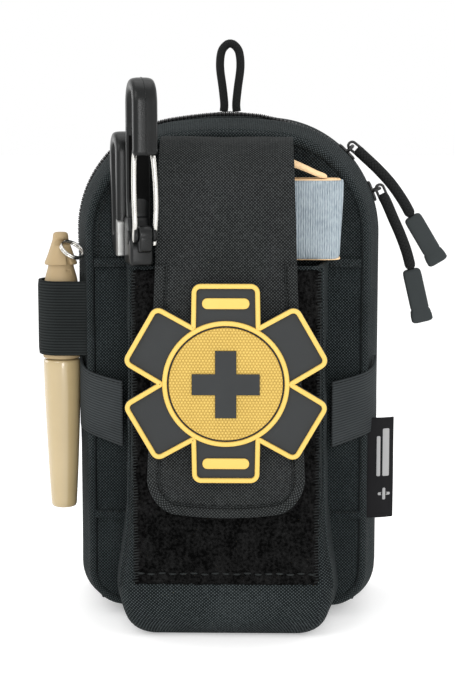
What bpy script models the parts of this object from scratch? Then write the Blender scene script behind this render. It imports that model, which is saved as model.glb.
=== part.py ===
"""Tourniquet pouch kit: a zipped first aid pouch that carries a folded windlass tourniquet in a
flapped holster on its front, with rescue shears, a marker, a splint roll and a soft patch.

+X is the wearer's left when worn (right in a front view), -Y faces forward, +Z is up.
The pouch stands on z = 0, and the origin is on the flat base of the rear shell.
Sizes are in millimetres; MM turns them into Blender's metres when a mesh is made.
"""

import math

import bmesh
import bpy
from mathutils import Matrix, Vector

for old in list(bpy.data.objects):
    bpy.data.objects.remove(old, do_unlink=True)

MM = 0.001
GAP = 0.3  # clearance between pieces that touch

# pouch shells
BODY_HALF_WIDTH = 56.7
BODY_HEIGHT = 187.3
TOP_CORNER_RADIUS = 42.0
CROWN_RADIUS = 150.0
BASE_CORNER_RADIUS = 15.0
SHELL_WALL = 2.0
REAR_DEPTH = 20.0
FRONT_DEPTH = 18.0
FRONT_TAPER = 8.3
ZIP_Y = -13.0
ZIP_HALF_OPENING = 6.0
ZIP_END_HEIGHT = 26.0

# zip
TAPE_THICKNESS = 0.8
TAPE_UNDERLAP = 5.0
CHAIN_HEIGHT = 1.8
CHAIN_WIDTH = 2.2
SLIDER_ANGLES = {"upper": 45.0, "lower": 21.0}
SLIDER_LENGTH = 11.0
SLIDER_WIDTH = 9.6
SLIDER_PLATE = 0.9
BAR_SIZE = 1.2
BAIL_HOLE_RADIUS = 1.15
BAIL_OUTER_RADIUS = 1.8
BAIL_REACH = 4.2
BAIL_THICKNESS = 1.4
PULL_OFFSETS = {"upper": 2.8, "lower": -2.8}
PULL_CORD_DIAMETER = 4.1
GRIP_LENGTH = 21.0
GRIP_WIDTH = 6.4
GRIP_THICKNESS = 4.4
GRIP_WALL = 0.5
GRIP_SOCKET = 4.0

# front layers
PIPING_WIDTH = 2.3
PIPING_THICKNESS = 1.2
SLIP_THICKNESS = 1.2
SLIP_HEIGHT = 133.5
HEM_HEIGHT = 2.8
BAND_THICKNESS = 1.0
BAND_WIDTH = 25.0
BAND_BOTTOM = 70.5
LABEL_HEIGHT = 38.0
LABEL_BOTTOM = 38.5

# holster for the tourniquet
HOLDER_MOUTH = 136.0
HOLDER_DEPTH = 25.0
HOLDER_WALL = 1.6
HOLDER_MOUTH_HALF_WIDTH = 34.2
HOLDER_WAIST_HALF_WIDTH = 35.5
HOLDER_WAIST_HEIGHT = 50.0
HOLDER_FOOT_HALF_WIDTH = 38.8
HOLDER_FOOT_HEIGHT = 17.0
HOLDER_BASE_HALF_WIDTH = 33.5
HOLDER_BACK_FLARE = 2.4
LOOP_PILE_HALF_WIDTH = 33.0
LOOP_PILE_BOTTOM = 20.5
LOOP_PILE_TOP = 134.5
PILE_THICKNESS = 0.8

# flap over the holster
FLAP_THICKNESS = 1.5
FLAP_TOP_HALF_WIDTH = 23.6
FLAP_MID_HALF_WIDTH = 24.9
FLAP_LOW_HALF_WIDTH = 28.3
FLAP_BOTTOM = 45.7
FLAP_CORNER_RADIUS = 7.5
FLAP_CREST_REACH = 10.6
FLAP_SHOULDER_DROP = 30.0
BINDING_WIDTH = 2.6
HOOK_PANEL_HEIGHT = 62.0

# six-armed patch
PATCH_HEIGHT = 95.1
PATCH_ARM_REACH = 35.6
PATCH_ARM_WIDTH = 24.0
PATCH_BASE_THICKNESS = 2.0
PATCH_RAISE = 0.8
PATCH_RIM_WIDTH = 1.6
PATCH_DISC_RADIUS = 20.5
PATCH_CROSS_REACH = 12.0
PATCH_CROSS_WIDTH = 7.5

# marker
MARKER_TOP = 145.0
MARKER_BOTTOM = 38.9
MARKER_SPLIT = 97.5
MARKER_RADIUS = 7.1
MARKER_BORE = 5.2
MARKER_OFFSET = 5.9
MARKER_LOOP_WIDTH = 27.7
MARKER_LOOP_WALL = 1.2
MARKER_LOOP_TOP = 127.3
RING_WIRE = 0.6
RING_HOLE_RADIUS = 1.5
RING_WEB = 2.2
EYE_TAB_HEIGHT = 13.0
RING_YAW = -60.0  # the eye's tab points forward and towards the pouch
RING_DIRECTION = (0.55, -0.83)

# shears
SHEARS_YAW = 14.0
SHEARS_X = -34.6
SHEARS_REACH = 17.7  # from the piping forward to the handles' own axis
HANDLE_THICKNESS = 8.2
HANDLE_BOTTOM = 138.6
CLIP_HANDLE_TOP = 202.0
CLIP_HANDLE_DEPTH = 18.5
CLIP_BAND = 4.6
CLIP_NOSE_HEIGHT = 175.0
GATE_PIVOT_HEIGHT = 148.0
GATE_WIRE_RADIUS = 0.75
GATE_HALF_SPACING = 3.4
GATE_PIN_RADIUS = 1.1
GATE_PIN_INSET = 3.4
HANDLE_START = 1.4
THUMB_LOOP_TOP = 183.0
THUMB_LOOP_DEPTH = 16.8
THUMB_LOOP_BAND = 4.6
BLADE_X = -30.9
BLADE_REACH = 14.2  # from the holster's back forward to the blades
BLADE_THICKNESS = 1.5
BLADE_WIDTH = 12.0
BLADE_TIP = 22.0
BLADE_PIVOT_HEIGHT = 124.0
SCREW_RADIUS = 2.6

# splint
SPLINT_RIGHT = 41.2
SPLINT_WIDTH = 26.0
SPLINT_HEIGHT = 28.5
SPLINT_DEPTH = 12.5
SPLINT_CORE_THICKNESS = 1.0

# folded tourniquet
TOURNIQUET_LEFT = -24.2
STRAP_WIDTH = 37.0
STRAP_STACK = 7.0
STRAP_TOP = 158.0
PLATE_THICKNESS = 1.8
PLATE_HEIGHT = 84.0
ROD_RADIUS = 3.5
ROD_LENGTH = 112.0
CLIP_WALL = 1.4
BUCKLE_HEIGHT = 26.0
BUCKLE_BAR = 4.0

# back fastening
WEBBING_THICKNESS = 1.6
WEBBING_WIDTH = 25.0
WEBBING_HALF_LENGTH = 50.0
STRAP_X = 25.0
STRAP_LENGTH = 138.0
SNAP_RADIUS = 6.5

# hanging loop
HANG_CORD_DIAMETER = 3.2
HANG_Y = 0.0
HANG_TAB_THICKNESS = 1.2

# worked out from the sizes above
REAR_RIM_Y = ZIP_Y + ZIP_HALF_OPENING
BACK_Y = REAR_RIM_Y + REAR_DEPTH
FRONT_RIM_Y = ZIP_Y - ZIP_HALF_OPENING
PANEL_Y = FRONT_RIM_Y - FRONT_DEPTH
GUSSET_KNEE = FRONT_TAPER * 0.55
GUSSET_KNEE_Y = PANEL_Y + 2 * SHELL_WALL
CROWN_CENTRE_Z = BODY_HEIGHT - CROWN_RADIUS
CORNER_X = BODY_HALF_WIDTH - TOP_CORNER_RADIUS
CORNER_Z = CROWN_CENTRE_Z + math.sqrt((CROWN_RADIUS - TOP_CORNER_RADIUS) ** 2 - CORNER_X**2)
CORNER_SWEEP = math.degrees(math.atan2(CORNER_Z - CROWN_CENTRE_Z, CORNER_X))
SLIP_Y = PANEL_Y - GAP - SLIP_THICKNESS
HOLDER_BACK_Y = SLIP_Y - GAP
HOLDER_FRONT_Y = HOLDER_BACK_Y - HOLDER_DEPTH
PILE_Y = HOLDER_FRONT_Y - GAP - PILE_THICKNESS
HOOK_Y = PILE_Y - GAP - PILE_THICKNESS
FLAP_BACK_Y = HOOK_Y - GAP
FLAP_Y = FLAP_BACK_Y - FLAP_THICKNESS
BINDING_Y = FLAP_Y - GAP - PILE_THICKNESS
PATCH_BACK_Y = BINDING_Y - GAP
PATCH_Y = PATCH_BACK_Y - PATCH_BASE_THICKNESS
RAISED_BACK_Y = PATCH_Y - GAP
RAISED_Y = RAISED_BACK_Y - PATCH_RAISE
PANEL_TOP = BODY_HEIGHT - FRONT_TAPER
PIPING_Y = PANEL_Y - GAP - PIPING_THICKNESS
PIPING_TOP = PANEL_TOP + 1.1
FLAP_HINGE_Y = PIPING_Y - GAP
FLAP_HINGE_Z = PIPING_TOP - 0.1
CREST_Y = FLAP_HINGE_Y - FLAP_CREST_REACH
CREST_Z = FLAP_HINGE_Z + 0.6
MARKER_X = -(BODY_HALF_WIDTH + MARKER_OFFSET)
MARKER_Y = FRONT_RIM_Y - FRONT_DEPTH / 2
RING_RADIUS = MARKER_RADIUS - 2.6
RING_EYE = (MARKER_RADIUS - 4.5, -3.6)  # outwards from the cap's axis and down from its top
SHEARS_Y = PIPING_Y - SHEARS_REACH
BLADE_Y = HOLDER_BACK_Y - BLADE_REACH
SPLINT_BOTTOM = HOLDER_MOUTH + 1.6


# ---------------------------------------------------------------- finishes

FINISHES = {}


def finish(name, colour, roughness, metallic=0.0):
    """A Principled material by name, made once."""
    if name not in FINISHES:
        made = bpy.data.materials.new(name)
        made.use_nodes = True
        shader = made.node_tree.nodes["Principled BSDF"]
        shader.inputs["Base Color"].default_value = (*colour, 1.0)
        shader.inputs["Roughness"].default_value = roughness
        shader.inputs["Metallic"].default_value = metallic
        FINISHES[name] = made
    return FINISHES[name]


CANVAS = finish("canvas", (0.022, 0.028, 0.030), 0.85)
LINING = finish("lining", (0.035, 0.040, 0.042), 0.9)
WEBBING = finish("webbing", (0.018, 0.019, 0.020), 0.8)
ELASTIC = finish("elastic", (0.030, 0.033, 0.036), 0.9)
PILE = finish("loop_pile", (0.008, 0.008, 0.008), 1.0)
ZIP_TAPE = finish("zip_tape", (0.012, 0.013, 0.014), 0.8)
ZIP_TEETH = finish("zip_teeth", (0.010, 0.010, 0.011), 0.35)
BLACK_METAL = finish("black_metal", (0.02, 0.02, 0.02), 0.35, 0.9)
CORD = finish("cord", (0.020, 0.021, 0.022), 0.85)
GRIP = finish("grip_plastic", (0.045, 0.053, 0.055), 0.6)
BLACK_PLASTIC = finish("black_plastic", (0.03, 0.03, 0.03), 0.4)
STEEL = finish("steel", (0.62, 0.61, 0.58), 0.25, 1.0)
TAN_PLASTIC = finish("tan_plastic", (0.46, 0.36, 0.22), 0.35)
PATCH_YELLOW = finish("patch_yellow", (0.74, 0.47, 0.10), 0.55)
PATCH_GREY = finish("patch_grey", (0.055, 0.055, 0.057), 0.6)
SPLINT_GREY = finish("splint_grey", (0.30, 0.35, 0.40), 0.9)
SPLINT_TAN = finish("splint_tan", (0.72, 0.50, 0.27), 0.7)
LABEL = finish("label", (0.010, 0.010, 0.011), 0.7)


# ---------------------------------------------------------------- modelling helpers


def axis_empty(name, place, parent=None, turn_y=0.0, turn_z=0.0):
    """An empty on a joint's axis: place is in the parent's own frame, turns are in degrees."""
    empty = bpy.data.objects.new(name, None)
    bpy.context.scene.collection.objects.link(empty)
    empty.empty_display_size = 5 * MM
    empty.parent = parent
    empty.location = Vector(place) * MM
    empty.rotation_euler = (0.0, math.radians(turn_y), math.radians(turn_z))
    return empty


def piece(name, shape, material, parent=None, smooth=False):
    """Links a bmesh in millimetres as an object with its origin at the parent's."""
    bmesh.ops.transform(shape, matrix=Matrix.Scale(MM, 4), verts=shape.verts)
    bmesh.ops.recalc_face_normals(shape, faces=shape.faces)
    mesh = bpy.data.meshes.new(name)
    shape.to_mesh(mesh)
    shape.free()
    mesh.materials.append(material)
    obj = bpy.data.objects.new(name, mesh)
    bpy.context.scene.collection.objects.link(obj)
    obj.parent = parent
    if smooth:
        mesh.shade_smooth()
        mesh.set_sharp_from_angle(angle=math.radians(40))
    return obj


def bevelled(obj, width, segments=1):
    """Rounds the sharp edges of an object with a Bevel modifier; width is in millimetres."""
    rounding = obj.modifiers.new("edge", "BEVEL")
    rounding.width = width * MM
    rounding.segments = segments
    rounding.limit_method = "ANGLE"
    rounding.angle_limit = math.radians(50)
    return obj


def boolean(obj, other, operation):
    """Cuts or joins with a helper object that isn't a node."""
    other.hide_render = True
    other.display_type = "WIRE"
    step = obj.modifiers.new(operation.lower(), "BOOLEAN")
    step.operation = operation
    step.object = other
    return obj


def spot(axis, a, b, along):
    """A point from two in-plane values and one along the axis."""
    return {"X": (along, a, b), "Y": (a, along, b), "Z": (a, b, along)}[axis]


def prism(outline, low, high, axis="Y"):
    """A flat outline, as (x, z), (y, z) or (x, y) points, extruded along the axis from low to high."""
    shape = bmesh.new()
    face = shape.faces.new([shape.verts.new(spot(axis, a, b, low)) for a, b in outline])
    grown = bmesh.ops.extrude_face_region(shape, geom=[face])
    moved = [v for v in grown["geom"] if isinstance(v, bmesh.types.BMVert)]
    bmesh.ops.translate(shape, verts=moved, vec=spot(axis, 0, 0, high - low))
    return shape


def loft(rings, closed=False):
    """Joins rings of equal length one after another: capped at both ends, or closed into a ring."""
    shape = bmesh.new()
    loops = [[shape.verts.new(p) for p in ring] for ring in rings]
    pairs = list(zip(loops, loops[1:]))
    if closed:
        pairs.append((loops[-1], loops[0]))
    for one, two in pairs:
        for k in range(len(one)):
            nxt = (k + 1) % len(one)
            shape.faces.new((one[k], one[nxt], two[nxt], two[k]))
    if not closed:
        shape.faces.new(loops[0])
        shape.faces.new(loops[-1])
    return shape


def frame_prism(outer, inner, low, high, axis="Y"):
    """A closed frame between two outlines of equal length, extruded along the axis."""
    at = [(outer, low), (outer, high), (inner, high), (inner, low)]
    return loft([[spot(axis, a, b, along) for a, b in line] for line, along in at], closed=True)


def block(x, y, z):
    """A box from (low, high) pairs."""
    return prism([(x[0], z[0]), (x[1], z[0]), (x[1], z[1]), (x[0], z[1])], *y)


def rod(centre, radius, low, high, axis="Z", sides=12):
    """A round bar about a point in the plane across the axis."""
    turn = [2 * math.pi * (k + 0.5) / sides for k in range(sides)]
    ring = [(centre[0] + radius * math.cos(t), centre[1] + radius * math.sin(t)) for t in turn]
    return prism(ring, low, high, axis)


def arc(centre, radius, start, end, steps):
    """Points on an arc, angles in degrees."""
    angles = [math.radians(start + (end - start) * k / steps) for k in range(steps + 1)]
    return [(centre[0] + radius * math.cos(t), centre[1] + radius * math.sin(t)) for t in angles]


def offset_path(path, distance):
    """A path moved to its left by a distance, mitred at its corners."""
    points = [Vector(p) for p in path]
    moved = []
    for k, p in enumerate(points):
        before = (p - points[k - 1]).normalized() if k else None
        after = (points[k + 1] - p).normalized() if k + 1 < len(points) else None
        along = ((before or after) + (after or before)).normalized()
        side = Vector((-along.y, along.x))
        mitre = side.dot(Vector((-(after or before).y, (after or before).x)))
        moved.append(tuple(p + side * distance / max(mitre, 0.4)))
    return moved


def strip(path, thickness, low, high, axis="Y"):
    """A sheet of even thickness whose middle follows a path, extruded along the axis."""
    left, right = offset_path(path, thickness / 2), offset_path(path, -thickness / 2)
    return prism(left + right[::-1], low, high, axis)


def rounded_box_ring(half_x_back, half_x_front, back, front, corner, z):
    """A four-sided ring with round corners at height z; back and front are y values."""
    corners = [
        ((half_x_front - corner, front + corner), -90),
        ((half_x_back - corner, back - corner), 0),
        ((-half_x_back + corner, back - corner), 90),
        ((-half_x_front + corner, front + corner), 180),
    ]
    flat = [p for centre, start in corners for p in arc(centre, corner, start, start + 90, 2)]
    return [(x, y, z) for x, y in flat]


def smooth_route(points, spacing):
    """Evenly read points on a Catmull-Rom curve through the route's own points."""
    route = [Vector(p) for p in points]
    ends = [route[0] * 2 - route[1], *route, route[-1] * 2 - route[-2]]
    fine = []
    for k in range(1, len(ends) - 2):
        a, b, c, d = ends[k - 1 : k + 3]
        for step in range(20):
            t = step / 20
            fine.append(0.5 * (2 * b + (c - a) * t + (2 * a - 5 * b + 4 * c - d) * t**2
                               + (3 * b - a - 3 * c + d) * t**3))
    fine.append(route[-1])
    total = sum((q - p).length for p, q in zip(fine, fine[1:]))
    count = max(3, round(total / spacing))
    read, walked, target = [fine[0]], 0.0, total / count
    for p, q in zip(fine, fine[1:]):
        long = (q - p).length
        while walked + long >= target * len(read) and len(read) < count:
            share = (target * len(read) - walked) / long
            read.append(p.lerp(q, share))
        walked += long
    return [*read, fine[-1]]


def cord(name, points, diameter, material, parent=None):
    """A round cord as a curve along a smooth route in millimetres, in the parent's frame."""
    read = smooth_route(points, 2.2 * diameter)
    curve = bpy.data.curves.new(name, "CURVE")
    curve.dimensions = "3D"
    curve.bevel_depth = diameter / 2 * MM
    curve.bevel_resolution = 2
    curve.use_fill_caps = True
    line = curve.splines.new("POLY")
    line.points.add(len(read) - 1)
    for point, place in zip(line.points, read):
        point.co = (*(place * MM), 1.0)
    curve.materials.append(material)
    obj = bpy.data.objects.new(name, curve)
    bpy.context.scene.collection.objects.link(obj)
    obj.parent = parent
    return obj


# ---------------------------------------------------------------- pouch outline


def pouch_outline(inset):
    """The front view of the pouch, drawn in by an inset, anticlockwise from the base."""
    base_x, base_r = BODY_HALF_WIDTH - BASE_CORNER_RADIUS, BASE_CORNER_RADIUS - inset
    return [
        *arc((base_x, BASE_CORNER_RADIUS), base_r, -90, 0, 4),
        *top_path(inset),
        *arc((-base_x, BASE_CORNER_RADIUS), base_r, 180, 270, 4),
    ]


def top_path(inset):
    """Up over the right corner, along the crown and down the left corner."""
    right = arc((CORNER_X, CORNER_Z), TOP_CORNER_RADIUS - inset, 0, CORNER_SWEEP, 8)
    crown = arc((0, CROWN_CENTRE_Z), CROWN_RADIUS - inset, CORNER_SWEEP, 180 - CORNER_SWEEP, 6)
    left = arc((-CORNER_X, CORNER_Z), TOP_CORNER_RADIUS - inset, 180 - CORNER_SWEEP, 180, 8)
    return [*right, *crown[1:-1], *left]


def zip_band(outer_inset, inner_inset, low, high):
    """A band that follows the zip from one side's end stop over the top to the other's."""
    lines = []
    for inset in (outer_inset, inner_inset):
        side = BODY_HALF_WIDTH - inset
        lines.append([(side, ZIP_END_HEIGHT), *top_path(inset), (-side, ZIP_END_HEIGHT)])
    return prism(lines[0] + lines[1][::-1], low, high)


def layers(*steps):
    """Rings of the pouch outline from (inset, y) pairs."""
    return [[(x, y, z) for x, z in pouch_outline(inset)] for inset, y in steps]


# ---------------------------------------------------------------- pouch


def make_rear_shell():
    rings = layers(
        (SHELL_WALL + 0.2, BACK_Y - SHELL_WALL),
        (SHELL_WALL, REAR_RIM_Y),
        (0.0, REAR_RIM_Y),
        (0.0, BACK_Y - SHELL_WALL),
        (SHELL_WALL, BACK_Y),
    )
    piece("rear_shell", loft(rings), CANVAS)


def gusset_inset(y):
    """How far the front gusset is drawn in at a depth, between the rim and the knee."""
    return GUSSET_KNEE * (FRONT_RIM_Y - y) / (FRONT_RIM_Y - GUSSET_KNEE_Y)


def make_front_shell(parent):
    knee = GUSSET_KNEE
    rings = layers(
        (FRONT_TAPER + SHELL_WALL, PANEL_Y + SHELL_WALL),
        (knee + SHELL_WALL, GUSSET_KNEE_Y + 0.4 * SHELL_WALL),
        (SHELL_WALL, FRONT_RIM_Y),
        (0.0, FRONT_RIM_Y),
        (knee, GUSSET_KNEE_Y),
        (FRONT_TAPER - 0.8, PANEL_Y + 0.8),
        (FRONT_TAPER + 0.4, PANEL_Y),
    )
    piece("front_shell", loft(rings), CANVAS, parent)


def make_zip(side, parent=None):
    """Tape and chain on one side of the zip plane: side is +1 for the rear and -1 for the front."""
    name = "rear" if side > 0 else "front"
    reach = ZIP_HALF_OPENING + (TAPE_UNDERLAP if side > 0 else -GAP)
    tape = sorted([ZIP_Y + side * GAP / 2, ZIP_Y + side * reach])
    chain = sorted([ZIP_Y + side * GAP / 2, ZIP_Y + side * CHAIN_WIDTH])
    under = SHELL_WALL + GAP
    band = zip_band(under, under + TAPE_THICKNESS, *tape)
    piece(f"zip_tape_{name}", band, ZIP_TAPE, parent)
    teeth = zip_band(SHELL_WALL - CHAIN_HEIGHT, SHELL_WALL, *chain)
    piece(f"zip_chain_{name}", teeth, ZIP_TEETH, parent)


def make_base_gusset():
    reach = ZIP_HALF_OPENING - GAP
    half = BODY_HALF_WIDTH - BASE_CORNER_RADIUS
    sheet = block((-half, half), (ZIP_Y - reach, ZIP_Y + reach), (0.0, TAPE_THICKNESS))
    piece("base_gusset", sheet, CANVAS)


def make_hang_loop():
    """A doubled cord that stands on a sewn tab at the middle of the crown."""
    low = BODY_HEIGHT + GAP
    tab = block((-7.0, 7.0), (HANG_Y - 4, HANG_Y + 4), (low, low + HANG_TAB_THICKNESS))
    piece("hang_tab", tab, WEBBING)
    start = low + HANG_TAB_THICKNESS + GAP
    right = [(2.5, 0.0), (2.3, 3.0), (2.9, 8.9), (3.9, 16.9), (3.4, 22.5), (1.7, 25.1)]
    left = [(-x, z) for x, z in right[::-1]]
    route = [(x + 0.3, HANG_Y, start + z) for x, z in [*right, (0, 25.8), *left]]
    cord("hang_loop", route, HANG_CORD_DIAMETER, CORD)


def make_back_fastening():
    """Two webbing rows with two straps over them, each held by a snap."""
    row_y = BACK_Y + GAP
    strap_y = row_y + WEBBING_THICKNESS + GAP
    snap_y = strap_y + WEBBING_THICKNESS + GAP
    middle = BODY_HEIGHT / 2
    for name, z in (("upper", middle + 37.5), ("lower", middle - 37.5)):
        row = block((-WEBBING_HALF_LENGTH, WEBBING_HALF_LENGTH), (row_y, row_y + WEBBING_THICKNESS),
                    (z - WEBBING_WIDTH / 2, z + WEBBING_WIDTH / 2))
        piece(f"molle_row_{name}", row, WEBBING)
    low = middle - STRAP_LENGTH / 2
    for name, x in (("left", -STRAP_X), ("right", STRAP_X)):
        strap = block((x - WEBBING_WIDTH / 2, x + WEBBING_WIDTH / 2),
                      (strap_y, strap_y + WEBBING_THICKNESS), (low, low + STRAP_LENGTH))
        piece(f"molle_strap_{name}", strap, WEBBING)
        snap = rod((x, low + WEBBING_WIDTH / 2), SNAP_RADIUS, snap_y, snap_y + 1.8, "Y", 20)
        piece(f"molle_snap_{name}", snap, BLACK_METAL, smooth=True)


def make_rear_pocket():
    """A flat pocket inside the rear shell."""
    inner = BODY_HALF_WIDTH - SHELL_WALL - 4
    wall = BACK_Y - SHELL_WALL - GAP
    sheet = block((-inner, inner), (wall - 1.2, wall), (BASE_CORNER_RADIUS, 92.0))
    piece("rear_pocket", sheet, LINING)


# ---------------------------------------------------------------- zip sliders and pulls


def make_slider(name):
    """Slider, bail, cord and grip, each on its own axis."""
    angle = SLIDER_ANGLES[name]
    centre = axis_empty(f"slider_{name}_axis", (CORNER_X, ZIP_Y, CORNER_Z), turn_y=90 - angle)
    low = TOP_CORNER_RADIUS + GAP
    top = low + SLIDER_PLATE
    bar_z = top + GAP + BAIL_OUTER_RADIUS + 0.1
    half = SLIDER_WIDTH / 2
    plate = block((-SLIDER_LENGTH / 2, SLIDER_LENGTH / 2), (-half, half), (low, top))
    slider = piece(f"zip_slider_{name}", plate, BLACK_METAL, centre)
    reach = bar_z + BAR_SIZE / 2
    arch = [(-half, top - 0.6), (-half + 1.0, top - 0.6), (-half + 1.0, reach - BAR_SIZE),
            (half - 1.0, reach - BAR_SIZE), (half - 1.0, top - 0.6), (half, top - 0.6),
            (half, reach), (-half, reach)]
    bridge = piece(f"bridge_{name}", prism(arch, -BAR_SIZE / 2, BAR_SIZE / 2, "X"), BLACK_METAL, centre)
    boolean(slider, bridge, "UNION")
    swing = axis_empty(f"pull_{name}_axis", (0, PULL_OFFSETS[name], bar_z), centre, turn_y=angle - 90)
    make_pull(name, swing)


PULL_ROUTES = {
    "upper": [(4.75, -4.13), (9.6, -8.6), (14.8, -14.2), (19.4, -20.6), (22.7, -26.4), (24.8, -29.9)],
    "lower": [(2.76, -5.66), (5.2, -11.2), (7.9, -17.2), (10.4, -23.8), (12.2, -30.4), (13.1, -34.2)],
}


def make_pull(name, swing):
    """The bail runs round the slider's bar; the cord's route starts at the bail and ends in the grip."""
    route = [Vector((x, 0.0, z)) for x, z in PULL_ROUTES[name]]
    out = route[0].normalized()
    side = Vector((out.z, 0.0, -out.x))
    ring = []
    for radius in (BAIL_OUTER_RADIUS, BAIL_HOLE_RADIUS):
        near = arc((0, 0), radius, 90, 270, 8)
        away = arc((BAIL_REACH, 0), radius, -90, 90, 8)
        flat = [out * a + side * b for a, b in [*near, *away]]
        ring.append([(p.x, p.z) for p in flat])
    bail = frame_prism(*ring, -BAIL_THICKNESS / 2, BAIL_THICKNESS / 2)
    piece(f"pull_bail_{name}", bail, BLACK_METAL, swing, smooth=True)
    cord(f"pull_cord_{name}", route, PULL_CORD_DIAMETER, CORD, swing)

    down = (route[-1] - route[-2]).normalized()
    across = Vector((down.z, 0.0, -down.x))
    start = route[-1] - down * GRIP_SOCKET + down * GAP
    socket = PULL_CORD_DIAMETER / 2 + 1.5 * GAP

    def ring_at(along, half_width, half_depth):
        centre = start + down * along
        turn = [2 * math.pi * (k + 0.5) / 12 for k in range(12)]
        return [centre + across * half_width * math.cos(t) + Vector((0, half_depth * math.sin(t), 0))
                for t in turn]

    mouth = socket + GRIP_WALL
    rings = [ring_at(GRIP_SOCKET, socket, socket), ring_at(0.0, socket, socket),
             ring_at(0.0, mouth, mouth - 0.2), ring_at(3.0, GRIP_WIDTH / 2 - 0.2, GRIP_THICKNESS / 2 + 0.4),
             ring_at(0.85 * GRIP_LENGTH, GRIP_WIDTH / 2 + 0.3, GRIP_THICKNESS / 2),
             ring_at(GRIP_LENGTH, GRIP_WIDTH / 2, GRIP_THICKNESS / 2 - 0.3)]
    piece(f"pull_grip_{name}", loft(rings), GRIP, swing, smooth=True)


# ---------------------------------------------------------------- layers on the front panel


def make_front_layers(parent):
    edge = FRONT_TAPER - 1.1
    outer, inner = pouch_outline(edge), pouch_outline(edge + PIPING_WIDTH)
    piping = frame_prism(outer, inner, PIPING_Y, PANEL_Y - GAP)
    piece("front_piping", piping, CANVAS, parent)

    inset = edge + PIPING_WIDTH + GAP
    side, base_x = BODY_HALF_WIDTH - inset, BODY_HALF_WIDTH - BASE_CORNER_RADIUS
    corner = BASE_CORNER_RADIUS - inset
    pocket = [
        *arc((-base_x, BASE_CORNER_RADIUS), corner, 180, 270, 4),
        *arc((base_x, BASE_CORNER_RADIUS), corner, -90, 0, 4),
        (side, SLIP_HEIGHT),
        (-side, SLIP_HEIGHT),
    ]
    piece("slip_pocket", prism(pocket, SLIP_Y, SLIP_Y + SLIP_THICKNESS), CANVAS, parent)
    hem_low = SLIP_HEIGHT + GAP
    hem = block((-side, side), (SLIP_Y, SLIP_Y + SLIP_THICKNESS), (hem_low, hem_low + HEM_HEIGHT))
    piece("slip_hem", hem, CANVAS, parent)

    start_y = PANEL_Y + 6.0
    wall = BODY_HALF_WIDTH - gusset_inset(start_y)
    holder = HOLDER_WAIST_HALF_WIDTH + 2.6
    path = [(wall + GAP + BAND_THICKNESS, start_y), (BODY_HALF_WIDTH - 5.2, PIPING_Y - 0.2),
            (BODY_HALF_WIDTH - 9.0, PIPING_Y - 1.6), (holder, PIPING_Y - 7.4)]
    for name, way in (("left", -1), ("right", 1)):
        band = strip([(way * x, y) for x, y in path], BAND_THICKNESS, BAND_BOTTOM,
                     BAND_BOTTOM + BAND_WIDTH, "Z")
        piece(f"elastic_band_{name}", band, ELASTIC, parent)

    seam = BODY_HALF_WIDTH - edge + 3.7
    tag = strip([(seam, PANEL_Y - 0.6), (seam + 2.6, PANEL_Y), (seam + 7.6, PANEL_Y + 1.8)],
                1.2, LABEL_BOTTOM, LABEL_BOTTOM + LABEL_HEIGHT, "Z")
    piece("side_label", tag, LABEL, parent)


def make_marker_loop(parent):
    """An elastic strip from the seam round the marker and back to the gusset."""
    reach = MARKER_RADIUS + 0.4 + MARKER_LOOP_WALL / 2
    centre = (MARKER_X, MARKER_Y)
    seam = -(BODY_HALF_WIDTH - gusset_inset(MARKER_Y - reach) + GAP)
    wrap = arc(centre, reach, -90, -270, 14)
    path = [(seam, MARKER_Y - reach), *wrap, (-BODY_HALF_WIDTH - 1.2, MARKER_Y + reach)]
    band = strip(path, MARKER_LOOP_WALL, MARKER_LOOP_TOP - MARKER_LOOP_WIDTH, MARKER_LOOP_TOP, "Z")
    piece("marker_loop", band, ELASTIC, parent, smooth=True)


# ---------------------------------------------------------------- holster and tourniquet


def make_holder(parent):
    """An open-topped tapered pocket, lofted upwards outside and back down inside."""
    sizes = [
        (0.0, HOLDER_BASE_HALF_WIDTH),
        (HOLDER_FOOT_HEIGHT, HOLDER_FOOT_HALF_WIDTH),
        (HOLDER_WAIST_HEIGHT, HOLDER_WAIST_HALF_WIDTH),
        (HOLDER_MOUTH, HOLDER_MOUTH_HALF_WIDTH),
    ]
    outer = [rounded_box_ring(half + HOLDER_BACK_FLARE, half, HOLDER_BACK_Y, HOLDER_FRONT_Y, 3.0, z)
             for z, half in sizes]
    wall = HOLDER_WALL
    inner = [rounded_box_ring(half + HOLDER_BACK_FLARE - wall, half - wall, HOLDER_BACK_Y - wall,
                              HOLDER_FRONT_Y + wall, 3.0 - wall, max(z, wall))
             for z, half in sizes]
    piece("holder_shell", loft(outer + inner[::-1]), CANVAS, parent)
    pile = block((-LOOP_PILE_HALF_WIDTH, LOOP_PILE_HALF_WIDTH), (PILE_Y, PILE_Y + PILE_THICKNESS),
                 (LOOP_PILE_BOTTOM, LOOP_PILE_TOP))
    piece("holder_loop_panel", pile, PILE, parent)


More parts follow.
